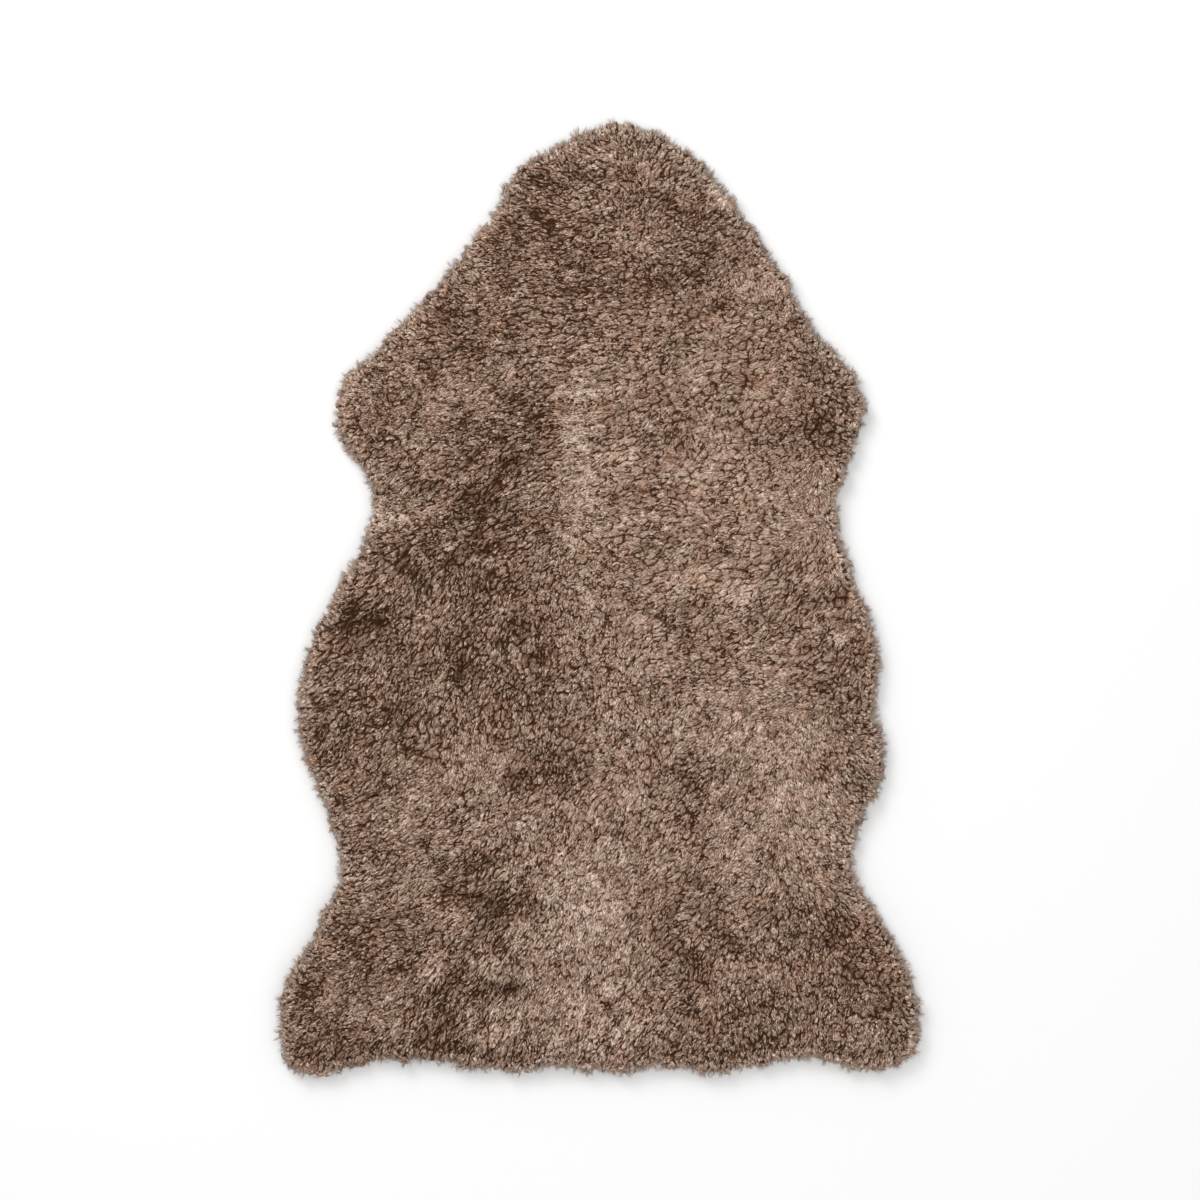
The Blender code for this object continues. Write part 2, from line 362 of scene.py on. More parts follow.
def wander(points, scale, layer):
    # a smooth sideways push for each point
    return noiseAt(points, scale, layer, noise.noise_vector)[:, :2]


def between(pair, share):
    return pair[0] + (pair[1] - pair[0]) * share


# how the wool lies
lay = [  # place, x and y in mm, reach in mm, the way it lies in degrees from +X, how far it leans
    ("crown", -10, 420, 60, 180, 0.5),
    ("crown, right", 60, 400, 50, 30, 0.45),
    ("neck, left", -60, 340, 55, 190, 0.7),
    ("neck, right", 90, 330, 60, 28, 0.7),
    ("neck, low", -10, 270, 60, 188, 0.75),
    ("neck, low right", 60, 255, 50, 203, 0.7),
    ("shoulder, left", -140, 230, 60, 195, 0.5),
    ("shoulder, far left", -200, 180, 50, 215, 0.2),
    ("shoulder, right", 140, 240, 55, 200, 0.5),
    ("foreleg, right", 200, 170, 55, 210, 0.1),
    ("spine, upper", 0, 180, 60, 203, 0.75),
    ("back, upper right", 110, 170, 50, 215, 0.35),
    ("back, left", -90, 110, 60, 207, 0.8),
    ("waist, left", -190, 100, 55, 205, 0.7),
    ("back, middle", 50, 95, 50, 193, 0.7),
    ("back, right", 125, 95, 40, 195, 0.4),
    ("waist, right", 190, 100, 50, 208, 0.55),
    ("belly, left", -200, 0, 60, 228, 0.8),
    ("loin, left", -120, -10, 60, 235, 0.75),
    ("loin, middle", -30, -20, 50, 235, 0.25),
    ("loin, right", 80, 10, 55, 205, 0.7),
    ("belly, right", 205, 10, 50, 220, 0.8),
    ("belly, low left", -200, -110, 60, 232, 0.6),
    ("flank, left", -110, -120, 55, 252, 0.45),
    ("flank, middle", 0, -140, 60, 250, 0.4),
    ("hip, right", 120, -70, 55, 190, 0.5),
    ("belly, low right", 210, -70, 50, 198, 0.55),
    ("flank, right", 120, -140, 50, 218, 0.45),
    ("flank, far right", 210, -160, 50, 285, 0.3),
    ("rump, left", -190, -220, 60, 213, 0.85),
    ("rump", -110, -230, 50, 228, 0.6),
    ("rump, middle", 0, -230, 60, 245, 0.6),
    ("rump, right", 120, -240, 55, 226, 0.6),
    ("rump, far right", 205, -220, 50, 300, 0.4),
    ("hind leg, left", -200, -300, 50, 210, 0.4),
    ("hind leg, far left", -250, -385, 60, 212, 0.65),
    ("rump, low", 0, -300, 50, 247, 0.5),
    ("tail, left", -120, -375, 55, 230, 1.0),
    ("tail, middle", -30, -370, 55, 250, 0.65),
    ("tail, right", 50, -370, 55, 230, 0.6),
    ("tail, far right", 125, -370, 55, 245, 0.4),
    ("hind leg, right", 200, -370, 55, 268, 0.4),
    ("hind leg, far right", 275, -370, 50, 250, 0.15),
]

# Partings darkened with painted shade and crests lightened with painted light; the broad washes are partly
# painted light and partly the wool's own tone. A row has x and y in mm, half its length and half its width in
# mm, its way in degrees from +X and its tone.
tones = {
    "washes": [
        (-125, 50, 170, 80, 84, -0.33), (0, 335, 110, 60, 0, -0.36), (-215, -100, 100, 50, 85, -0.25),
        (-235, -350, 70, 60, 0, -0.3), (-205, -435, 70, 12, 0, -0.65), (282, -425, 14, 14, 0, -0.4),
        (130, -395, 110, 38, 0, -0.25), (225, -330, 50, 60, 60, -0.25), (268, -362, 12, 12, 0, -0.35),
        (185, 175, 42, 36, 0, -0.25), (215, -55, 52, 42, 90, -0.22), (-150, 250, 50, 30, 40, -0.15),
        (-65, -75, 45, 50, 0, -0.35), (-60, 262, 55, 22, 0, -0.25), (78, 262, 28, 14, 0, -0.3),
        (-200, -310, 40, 20, 0, -0.45), (222, 123, 10, 9, 0, 0.35), (282, -395, 40, 20, 90, -0.25),
        (28, -264, 16, 10, 0, -0.45), (-250, -48, 30, 16, 60, -0.5), (-15, 120, 110, 24, 88, 0.38),
        (110, 50, 130, 80, 90, 0.14), (150, -140, 90, 60, 90, 0.18), (0, -280, 105, 40, 84, 0.32),
        (205, -210, 50, 35, 90, 0.15), (-204, 78, 24, 18, 20, 0.65), (-186, 77, 12, 9, 0, 0.6),
        (215, 90, 50, 28, 90, 0.2), (205, 15, 22, 11, 0, 0.2), (224, 35, 13, 12, 0, 0.75),
        (206, -18, 15, 10, 0, 0.8), (-10, -410, 42, 16, 0, 0.3), (-15, -379, 14, 10, 0, 0.7),
        (-42, -418, 12, 8, 0, 0.35), (-8, -419, 10, 8, 0, 0.35), (246, -292, 24, 10, 120, 0.5),
        (150, 300, 40, 16, 125, 0.15), (140, 338, 12, 12, 0, 0.3), (30, -390, 50, 24, 0, 0.15),
    ],
    "crown": [
        (-4, 399, 24, 7, 0, -0.85), (34, 401, 10, 7, 0, -0.35), (-62, 394, 14, 9, 20, -0.45),
        (-10, 432, 14, 8, 0, -0.4), (-40, 390, 12, 7, 90, -0.35), (38, 382, 14, 6, 0, -0.45),
        (60, 378, 18, 4, 170, -0.5), (72, 369, 14, 9, 150, -0.5), (98, 362, 20, 9, 0, -0.45),
        (-58, 362, 15, 6, 150, -0.75), (-44, 352, 14, 8, 80, -0.5), (70, 390, 14, 8, 0, 0.3),
        (112, 378, 20, 9, 120, 1.0), (28, 336, 14, 11, 0, 0.55), (-8, 340, 18, 9, 0, 0.4),
    ],
    "neck": [
        (-40, 325, 11, 8, 0, -0.4), (-22, 312, 12, 6, 0, -0.45), (-16, 292, 18, 6, 0, -0.5),
        (8, 286, 5, 7, 0, -0.5), (102, 325, 14, 9, 90, -0.5), (82, 304, 12, 6, 30, -0.5),
        (60, 300, 18, 7, 10, -0.35), (38, 290, 14, 9, 0, -0.3), (112, 276, 16, 3, 0, -0.7),
        (144, 277, 16, 3, 5, -0.6), (182, 262, 9, 7, 0, -0.55), (-95, 338, 16, 14, 0, -0.3),
        (-92, 295, 26, 10, 0, -0.5), (-53, 258, 10, 7, 0, -0.3), (-142, 266, 13, 12, 0, -0.45),
        (-118, 262, 8, 5, 0, -0.35), (-36, 275, 14, 7, 0, -0.45), (-22, 262, 10, 5, 0, -0.35),
        (-18, 276, 12, 6, 0, 0.4), (46, 266, 14, 8, 0, 0.2), (85, 245, 16, 4, 90, -0.35),
    ],
    "shoulders": [
        (-64, 233, 9, 5, 0, -0.5), (-99, 227, 10, 8, 0, 0.35), (5, 236, 12, 4, 90, -0.4),
        (-30, 222, 10, 4, 0, -0.35), (-126, 236, 12, 6, 0, -0.45), (-158, 222, 14, 12, 90, -0.65),
        (-155, 204, 12, 9, 0, -0.35), (-186, 190, 20, 16, 0, -0.55), (-205, 156, 22, 13, 130, -0.45),
        (-188, 148, 24, 5, 0, -0.35), (-57, 166, 19, 7, 100, -0.8), (-80, 190, 12, 6, 150, -0.5),
        (-92, 152, 9, 5, 80, -0.7), (-130, 160, 9, 8, 0, -0.35), (212, 214, 18, 10, 0, -0.4),
        (226, 190, 12, 9, 0, -0.5), (210, 160, 24, 15, 0, -0.6), (214, 138, 22, 9, 0, -0.5),
        (87, 172, 9, 6, 90, -0.6), (36, 184, 7, 4, 0, -0.5), (50, 168, 11, 9, 0, 0.7),
        (8, 184, 12, 8, 0, -0.35), (146, 208, 14, 12, 0, -0.6), (64, 190, 10, 6, 0, -0.25),
        (46, 202, 10, 8, 0, 0.35), (74, 234, 11, 9, 0, -0.4), (70, 156, 6, 9, 0, -0.25),
        (90, 213, 10, 9, 0, 0.45), (-25, 140, 38, 14, 90, 0.1),
    ],
    "left of the back": [
        (-119, 134, 12, 7, 60, -0.6), (-83, 130, 13, 6, 0, -0.8), (-97, 105, 18, 6, 80, -0.8),
        (-121, 94, 15, 7, 130, -0.7), (-133, 76, 14, 6, 60, -0.55), (-111, 60, 14, 9, 0, -0.55),
        (-88, 68, 15, 9, 0, -0.45), (-62, 70, 12, 8, 110, -0.45), (-100, 48, 26, 5, 0, -0.55),
        (-208, 17, 9, 9, 0, -0.5), (-56, 52, 12, 9, 0, -0.4), (-45, 23, 11, 9, 0, -0.4),
        (-22, 125, 9, 9, 0, -0.35), (-185, 42, 7, 8, 0, -0.95), (-177, 24, 15, 8, 130, -0.9),
        (-138, 37, 15, 9, 0, -0.65), (-103, 15, 18, 9, 45, -0.9), (-80, 14, 12, 12, 0, -0.5),
        (-157, 10, 9, 4, 150, -0.5), (-168, 106, 26, 5, 10, -0.4), (-97, 138, 8, 6, 0, 0.5),
        (-120, 115, 16, 6, 10, 0.4), (-80, 96, 9, 8, 0, 0.3), (-145, 84, 14, 8, 0, 0.25),
        (-128, 62, 8, 5, 0, 0.3), (-102, 36, 9, 5, 20, 0.5), (-80, 31, 8, 5, 0, 0.3),
        (-26, 35, 6, 5, 0, -0.35),
    ],
    "left belly": [
        (-228, -12, 20, 9, 0, -0.85), (-238, -26, 22, 9, 0, -0.6), (-205, -20, 12, 9, 0, -0.55),
        (-75, -29, 24, 10, 10, -0.5), (-60, -55, 14, 12, 120, -0.8), (-42, -70, 12, 9, 0, -0.35),
        (-22, -30, 10, 8, 0, 0.3), (-125, -33, 6, 6, 0, -0.45), (-170, -54, 14, 7, 150, -0.55),
        (-128, -60, 18, 11, 90, -0.55), (-190, -98, 13, 7, 45, -0.55), (-168, -105, 11, 9, 0, -0.4),
        (-67, -109, 11, 9, 0, -0.35), (-178, -112, 18, 7, 0, -0.5), (-206, -120, 15, 5, 10, -0.55),
        (-240, -97, 24, 6, 0, -0.35), (-262, -126, 8, 8, 0, -0.5), (-248, -159, 11, 9, 0, -0.35),
        (-243, -8, 10, 7, 0, 0.35), (-255, -142, 12, 7, 30, -0.5), (-180, -140, 12, 9, 0, -0.35),
        (-65, -140, 14, 9, 0, -0.35), (-38, -160, 15, 6, 15, -0.7), (-26, -147, 14, 10, 0, -0.5),
        (-21, -166, 10, 8, 0, -0.35), (-11, -108, 11, 9, 0, -0.35), (-30, -120, 12, 10, 0, -0.4),
        (-98, -126, 16, 10, 20, -0.45), (-97, -41, 10, 7, 0, -0.35), (-76, -167, 14, 9, 40, -0.9),
        (-42, -175, 18, 8, 0, -0.45), (-210, -183, 11, 3, 15, -0.9), (-160, -12, 13, 6, 60, 0.45),
        (-58, -168, 5, 4, 0, 0.35), (-122, -158, 26, 13, 20, 0.3), (-128, -122, 16, 12, 0, 0.2),
        (-160, -80, 13, 8, 0, 0.2),
    ],
    "back": [
        (53, 134, 6, 4, 0, -0.4), (35, 130, 11, 14, 0, 0.5), (-32, 117, 9, 9, 0, -0.35),
        (114, 59, 12, 9, 0, 0.35), (73, -19, 8, 7, 0, 0.3), (122, 126, 6, 6, 0, -0.5),
        (60, 106, 13, 4, 10, -0.45), (32, 112, 9, 4, 0, -0.35), (18, 93, 16, 5, 160, -0.4),
        (40, 46, 9, 5, 50, -0.5), (167, 40, 7, 8, 0, -0.35), (142, 25, 6, 6, 0, -0.45),
        (55, -14, 10, 4, 165, -0.35), (56, 68, 10, 8, 0, 0.3), (172, -53, 10, 8, 0, -0.3),
        (28, -80, 14, 9, 0, -0.3), (103, 3, 9, 4, 90, -0.45), (80, -33, 13, 7, 0, -0.5),
        (88, -46, 7, 4, 0, -0.5), (120, -45, 14, 7, 60, -0.45), (114, -62, 20, 4, 170, -0.45),
        (80, -75, 22, 9, 0, -0.25), (75, 10, 11, 11, 0, 0.35), (130, 5, 20, 12, 0, 0.25),
        (100, -85, 16, 4, 0, 0.35), (158, -76, 9, 4, 0, 0.3),
    ],
    "right belly": [
        (207, -3, 18, 5, 20, -0.5), (228, 3, 8, 8, 0, -0.45), (180, -30, 7, 6, 0, -0.35),
        (197, -45, 8, 4, 0, -0.55), (226, -37, 12, 8, 0, 0.7), (200, -60, 15, 4, 10, -0.55),
        (182, -76, 16, 3, 0, -0.45), (212, -84, 15, 7, 0, -0.55), (198, -109, 12, 10, 0, -0.35),
        (240, -90, 14, 6, 0, -0.4), (234, -120, 12, 7, 10, -0.3), (254, -110, 8, 8, 0, 0.2),
    ],
    "rump": [
        (-88, -236, 11, 8, 0, -0.75), (-106, -244, 20, 9, 0, -0.85), (-120, -254, 14, 6, 0, -0.5),
        (-140, -275, 9, 8, 0, -0.9), (-120, -279, 16, 6, 170, -0.6), (-97, -287, 17, 10, 0, -0.95),
        (-68, -286, 13, 8, 0, -0.6), (-108, -302, 8, 6, 0, -0.6), (-98, -324, 7, 7, 0, -0.65),
        (-80, -310, 10, 8, 0, 0.4), (-122, -325, 6, 7, 0, -0.5), (-163, -226, 9, 9, 0, -0.35),
        (-203, -256, 10, 8, 0, -0.3), (-153, -265, 10, 8, 0, 0.35), (-191, -187, 12, 9, 0, 0.6),
        (82, -165, 15, 9, 110, -0.5), (124, -149, 10, 9, 0, -0.35), (145, -184, 12, 10, 0, -0.45),
        (39, -96, 10, 9, 0, -0.3), (70, -130, 10, 9, 0, 0.35), (97, -178, 6, 6, 0, -0.35),
        (86, -210, 18, 8, 120, -0.6), (91, -264, 16, 11, 0, -0.6), (209, -161, 14, 12, 0, -0.6),
        (233, -231, 10, 9, 0, 0.35), (118, -190, 9, 4, 70, -0.5), (154, -175, 13, 3, 60, -0.45),
        (22, -218, 13, 4, 150, -0.4), (-1, -253, 14, 6, 0, -0.6), (128, -217, 8, 4, 90, -0.35),
        (-20, -285, 26, 15, 20, 0.25), (-60, -264, 14, 6, 130, 0.2), (-52, -276, 11, 9, 0, 0.4),
        (10, -310, 10, 8, 0, 0.25), (-10, -337, 12, 9, 0, -0.35), (-39, -342, 11, 9, 0, -0.35),
    ],
    "tail, left": [
        (-190, -346, 17, 7, 20, -0.65), (-134, -352, 13, 7, 60, -0.8), (-155, -370, 9, 8, 0, -0.75),
        (-146, -386, 17, 6, 110, -0.95), (-138, -402, 14, 9, 90, -0.6), (-160, -410, 13, 10, 0, -0.65),
        (-148, -424, 28, 6, 0, -0.5), (-111, -371, 13, 6, 20, -0.9), (-87, -367, 13, 6, 10, -0.8),
        (-68, -355, 10, 6, 0, 0.45), (-109, -395, 9, 5, 100, -0.85), (-82, -415, 8, 6, 0, -0.5),
        (-37, -375, 6, 6, 0, -0.5), (-22, -413, 8, 5, 60, -0.6), (-272, -375, 8, 14, 0, -0.35),
        (-235, -320, 26, 14, 0, -0.2), (-159, -351, 16, 10, 60, 0.75), (-50, -424, 10, 6, 0, 0.35),
        (151, -315, 14, 8, 0, 0.35), (-120, -386, 12, 5, 90, 0.4), (-95, -384, 11, 4, 0, 0.4),
        (-60, -384, 22, 8, 0, 0.2), (-56, -397, 12, 8, 0, -0.45), (-92, -411, 16, 9, 60, 0.3),
    ],
    "tail, right": [
        (80, -292, 9, 5, 0, -0.5), (97, -292, 7, 7, 0, -0.45), (60, -306, 11, 8, 0, -0.4),
        (70, -326, 9, 8, 120, -0.75), (106, -309, 12, 7, 0, -0.6), (125, -324, 13, 7, 125, -0.85),
        (90, -342, 15, 6, 80, -0.5), (80, -358, 12, 8, 0, -0.35), (87, -386, 7, 6, 0, -0.6),
        (180, -335, 7, 6, 0, -0.6), (190, -292, 8, 5, 0, -0.5), (224, -298, 16, 4, 165, -0.45),
        (228, -316, 22, 10, 0, -0.7), (212, -325, 9, 5, 30, -0.5), (236, -342, 12, 9, 80, -0.7),
        (266, -379, 9, 5, 0, -0.55), (255, -391, 8, 4, 0, -0.55), (283, -390, 5, 5, 0, -0.5),
        (160, -390, 6, 7, 0, -0.6), (138, -382, 22, 5, 0, -0.35), (138, -415, 11, 6, 45, -0.6),
        (158, -410, 5, 10, 0, -0.4), (126, -430, 16, 7, 0, -0.45), (63, -430, 9, 5, 0, -0.45),
    ],
}
patches = np.array([row for rows in tones.values() for row in rows], float)

flow = {
    "spread": 0.6,  # share of a row's reach at which it counts for about 0.6 of its most
    "swirl": 0.3,  # broad and small turns away from the table's way
    "eddy": 0.15,
    "outward": 1.1,  # pull towards the rim, at the rim
    "outwardReach": 16.0 * mm,
    "stray": 0.2,  # radians by which single tufts differ
}


def alongAcross(points, x, y, way):
    # how far points lie along and across a line through x and y, in mm
    c, s = math.cos(math.radians(way)), math.sin(math.radians(way))
    dx, dy = (points / mm - [x, y]).T
    return dx * c + dy * s, dy * c - dx * s


def layAt(points, rng):
    # the way the wool lies and how much it leans, outward near the rim
    vector = np.zeros((len(points), 2))
    total = np.full(len(points), 1e-4)
    for _, x, y, reach, way, lean in lay:
        weight = np.exp(-((points / mm - [x, y]) ** 2).sum(1) / (2 * (flow["spread"] * reach) ** 2))
        heading = math.radians(way)
        vector += weight[:, None] * lean * np.array([math.cos(heading), math.sin(heading)])
        total += weight
    vector /= total[:, None]
    vector += flow["swirl"] * wander(points, 22.0, 3.1) + flow["eddy"] * wander(points, 75.0, 6.4)
    out = unit(np.column_stack([look(outX, points), look(outY, points)]), tiny)
    vector += out * (flow["outward"] * np.exp(-look(depthGrid, points) / flow["outwardReach"]))[:, None]
    turn = rng.normal(0, flow["stray"], len(points))
    c, s = np.cos(turn), np.sin(turn)
    vector = np.column_stack([vector[:, 0] * c - vector[:, 1] * s, vector[:, 0] * s + vector[:, 1] * c])
    return unit(vector, tiny), np.clip(np.linalg.norm(vector, axis=1), 0.0, 1.0)


def toneAt(points):
    # the patches' painted shade and painted light, the wool's own uneven tone, and painted shade in the
    # solid's hollows
    tone = np.zeros(len(points))
    for x, y, length, width, way, strength in patches:
        along, across = alongAcross(points, x, y, way)
        tone += strength * np.exp(-((along / length) ** 2 + (across / width) ** 2))
    ragged = patchy(points, 70.0, 8.0)
    tone = tone * (0.95 + 1.1 * ragged) + 0.15 * ragged + 0.14 * patchy(points, 28.0)
    return tone - np.clip(look(hollowGrid, points) / (6 * mm), -0.3, 0.6) * 0.3


# where the wool is in large lumps: place, x and y in mm, half length and half width in mm, way in degrees
felts = [
    ("back", 105, 110, 180, 105, 95),
    ("spine", -10, 190, 70, 40, 80),
    ("rump", 30, -225, 120, 50, 95),
    ("flank, left", -130, -150, 70, 40, 20),
    ("belly, right", 210, -20, 70, 50, 90),
]

# where it lies smooth, as if combed
combs = [
    ("flank, right", 160, -170, 105, 85, 100),
    ("spine, light", -22, 130, 75, 20, 88),
    ("rump, left", -190, -215, 55, 45, 60),
    ("tail, left", -215, -370, 60, 45, 20),
    ("tail, middle", -50, -370, 80, 50, 0),
    ("rump, light", 0, -285, 70, 36, 90),
    ("belly, left", -150, -165, 60, 22, 10),
    ("neck, right", 125, 325, 70, 28, 125),
    ("neck, left", -70, 330, 70, 36, 45),
    ("waist, left", -192, 85, 34, 26, 20),
    ("shoulder, left", -140, 190, 55, 26, 10),
    ("waist, right", 195, 90, 50, 30, 90),
]


def zoneAt(points, zones):
    # 1 inside any of the zones, falling to 0 outside them
    inside = np.zeros(len(points))
    for _, x, y, length, width, way in zones:
        along, across = alongAcross(points, x, y, way)
        inside = np.maximum(inside, np.exp(-((along / length) ** 4) - (across / width) ** 4))
    return inside


def feltedAt(points):
    # 1 where the locks are large and matted together, as along the back; 0 where each stands alone
    return np.clip(zoneAt(points, felts) * 0.85 + 0.1 + 0.9 * patchy(points, 28.0), 0, 1)


def combedAt(points):
    # 1 where the wool lies smooth, as if combed
    return np.clip(zoneAt(points, combs) * 0.9 + 0.7 * patchy(points, 34.0, 6.1), 0, 1)


# locks of wool

narrowing = 0.35  # a tuft that is long for its width is this power of it narrower


def scatter(spacingAt, allowed, tries, rng, stretch=None):
    # Random points, none nearer to another than its own spacing. Where stretch gives each point a way
    # and how long it is for its width, they stand further apart along that way than across it.
    points = rng.uniform([gridX[0], gridY[0]], [gridX[-1], gridY[-1]], (tries, 2))
    points = points[allowed(points)]
    spacing = spacingAt(points)
    way, long = stretch(points) if stretch else (np.tile([1.0, 0.0], (len(points), 1)), np.ones(len(points)))
    cell = float(spacing.max())
    taken = {}
    kept = []
    rows = zip(points.tolist(), way.tolist(), (spacing * long).tolist(), (spacing / long**narrowing).tolist())
    for i, ((x, y), (wx, wy), gapAlong, gapAcross) in enumerate(rows):
        cx, cy, reach = int(x // cell), int(y // cell), math.ceil(gapAlong / cell)
        if all(
            (((x - px) * wx + (y - py) * wy) / gapAlong) ** 2
            + (((y - py) * wx - (x - px) * wy) / gapAcross) ** 2 > 1
            for ax in range(cx - reach, cx + reach + 1)
            for ay in range(cy - reach, cy + reach + 1)
            for px, py in taken.get((ax, ay), ())
        ):
            taken.setdefault((cx, cy), []).append((x, y))
            kept.append(i)
    return points[kept], spacing[kept], way[kept], long[kept]


clumps = {  # the locks stand in small bunches with deeper gaps between them
    "seed": 9,
    "spacing": 10.5 * mm,
    "uneven": (0.8, 1.35),  # least and most share of that spacing
    "edge": 4.0 * mm,  # how far inside the wool's outline the outermost ones stand
    "tries": 70000,
    "dome": 1.5 * mm,  # how much lower a bunch is at its edge than at its middle
    "splay": 0.4,  # how much its locks lean away from its middle
    "seam": 0.42,  # breadth of the gap, as a share of the spacing
}
rng = np.random.default_rng(clumps["seed"])
clumpSpots, *_ = scatter(
    lambda p: clumps["spacing"] * rng.uniform(*clumps["uneven"], len(p)),
    lambda p: look(depthGrid, p) > clumps["edge"], clumps["tries"], rng,
)
clumpTree = treeOf(clumpSpots)


def clumpAt(points):
    # 1 in the gap between two bunches and 0 inside one, and the way out from the bunch's middle
    found = [clumpTree.find_n((x, y, 0), 2) for x, y in points]
    near = np.array([f[0][2] for f in found])
    far = np.array([f[1][2] for f in found])
    middle = np.array([f[0][0][:2] for f in found])
    edge = np.clip((far - near) / (clumps["seam"] * clumps["spacing"]), 0, 1)
    out = (points - middle) / (0.6 * clumps["spacing"])
    return 1 - edge * edge * (3 - 2 * edge), out


curlForm = {  # a lock's make; a pair is the value for an upright lock and what leaning adds
    "girth": (0.66, 1.02, 1.06, 0.82),  # shares of its thickness, from root to tip
    "sides": 5,
    "thick": (0.47, -0.14),  # shares of its size
    "long": (0.84, 0.95),
    "uneven": (0.85, 1.18),  # least and most share of that length
    "crest": (0.48, 0.16, 0.5),  # share of the way along at which it is highest; the last is for uncurling
    "climb": (80, -52),  # degrees
    "drop": (118, -14),
    "roll": 0.3,  # radians that it falls to one side, and that it bends round
    "curl": 1.25,
    "rough": 0.13,
    "twist": 0.4,
    "taper": 0.35,  # how much thinner an uncurled lock ends
}
rimForm = {**curlForm, "girth": (0.6, 0.9, 1.06, 1.0, 0.74), "taper": 0.75}


def growLocks(form, seat, up, way, size, lean, uncurled, stalk, tone, rng):
    # Curled locks. Each rises from deep in the pile, bends over towards its way and turns down at its tip,
    # or where uncurled is near 1 ends in a tip that points up. seat is the highest point of each.
    count, sides, steps = len(seat), form["sides"], len(form["girth"]) - 1
    lean, uncurled = np.clip(lean, 0, 1)[:, None], uncurled[:, None]
    size = size[:, None]
    side = np.cross(up, way)

    def leaning(key):
        return form[key][0] + form[key][1] * lean

    roll = rng.normal(0, form["roll"], count)[:, None]
    rise = up * np.cos(roll) + side * np.sin(roll)
    run = (np.arange(steps) + 0.5) / steps
    crest = leaning("crest") + form["crest"][2] * uncurled
    climb = np.radians(leaning("climb")) * (1 - run / crest)
    drop = -np.radians(leaning("drop")) * (run - crest) / np.maximum(1 - crest, 0.2)
    slope = np.where(run < crest, climb, drop)
    heading = rng.normal(0, form["curl"], count)[:, None] * (run - 0.5)
    stride = size * leaning("long") * rng.uniform(*form["uneven"], (count, 1)) / steps
    ahead = way[:, None] * np.cos(heading)[..., None] + side[:, None] * np.sin(heading)[..., None]
    move = ahead * np.cos(slope)[..., None] + rise[:, None] * np.sin(slope)[..., None]
    path = np.concatenate([np.zeros((count, 1, 3)), np.cumsum(move * stride[..., None], axis=1)], axis=1)
    root = path[:, :1] - (up * stalk[:, None] + way * size * 0.35 * lean)[:, None]
    spine, tip = np.concatenate([root, path[:, :-1]], axis=1), path[:, -1]
    tip = tip + (tip - spine[:, -1]) * 0.8 * uncurled

    girth = np.array(form["girth"]) * (1 - form["taper"] * uncurled * np.linspace(0, 1, steps + 1) ** 2)
    radius = size * leaning("thick") * girth
    along = unit(np.gradient(np.concatenate([spine, tip[:, None]], axis=1), axis=1)[:, :-1])
    flat = unit(np.cross(along, rise[:, None] + 0.01), tiny)
    flat[(flat * -side[:, None]).sum(2) < 0] *= -1
    across = np.cross(along, flat)
    turn = rng.uniform(0, 2 * math.pi, count)[:, None]
    twist = turn + rng.choice([-1, 1], count)[:, None] * (np.arange(girth.shape[1]) * form["twist"])
    rings = []
    for j in range(sides):
        angle = twist + j * 2 * math.pi / sides
        lobe = radius * rng.uniform(1 - form["rough"], 1 + form["rough"], radius.shape)
        offset = across * (np.cos(angle) * lobe)[..., None] + flat * (np.sin(angle) * lobe)[..., None]
        rings.append(spine + offset)
    shape = np.concatenate([np.stack(rings, axis=2).reshape(count, -1, 3), tip[:, None]], axis=1)
    height = (shape * up[:, None]).sum(2)
    shape += up[:, None] * ((seat * up).sum(1) - height.max(axis=1))[:, None, None]
    off = seat - spine[:, 2:4].mean(axis=1)
    shape += (off - up * (off * up).sum(1)[:, None])[:, None]
    # sunk feeds the painted shade: darker the deeper a point lies under the lock's top, deeper in dark
    # patches, less on uncurled locks
    sunk = ((seat * up).sum(1)[:, None] - (shape * up[:, None]).sum(2)) / mm
    sunk += np.clip(-tone, 0, 1.2)[:, None] * 0.9 - uncurled * 2.2 + rng.normal(0, 0.4, (count, 1))
    none = 0 * sunk
    tint = rng.uniform(0, 1, (count, 1)) + none
    stored = {"sunk": sunk, "tone": tone[:, None] + none, "tint": tint, "loose": none + 1}
    return {"corners": shape, "rings": girth.shape[1], "sides": sides, "stored": stored}


def someLocks(locks, first, last):
    stored = {key: values[first:last] for key, values in locks["stored"].items()}
    return {**locks, "corners": locks["corners"][first:last], "stored": stored}


def meshOf(name, places, order, sizes, maps, stored, finish):
    # a smooth mesh, from its corners, their order round the faces and each face's number of corners
    mesh = bpy.data.meshes.new(name)
    mesh.vertices.add(len(places))
    mesh.vertices.foreach_set("co", places.astype(np.float32).ravel())
    mesh.loops.add(len(order))
    mesh.loops.foreach_set("vertex_index", order.astype(np.int32))
    mesh.polygons.add(len(sizes))
    starts = np.concatenate([[0], np.cumsum(sizes)[:-1]])
    mesh.polygons.foreach_set("loop_start", starts.astype(np.int32))
    mesh.polygons.foreach_set("use_smooth", np.ones(len(sizes), bool))
    for mapName, values in maps.items():
        mesh.uv_layers.new(name=mapName).uv.foreach_set("vector", values.astype(np.float32).ravel())
    for key, values in stored.items():
        made = mesh.attributes.new(key, "FLOAT", "POINT")
        made.data.foreach_set("value", values.astype(np.float32).ravel())
    mesh.update(calc_edges=True)
    mesh.validate()
    mesh.materials.append(finish)
    return addObject(name, mesh)


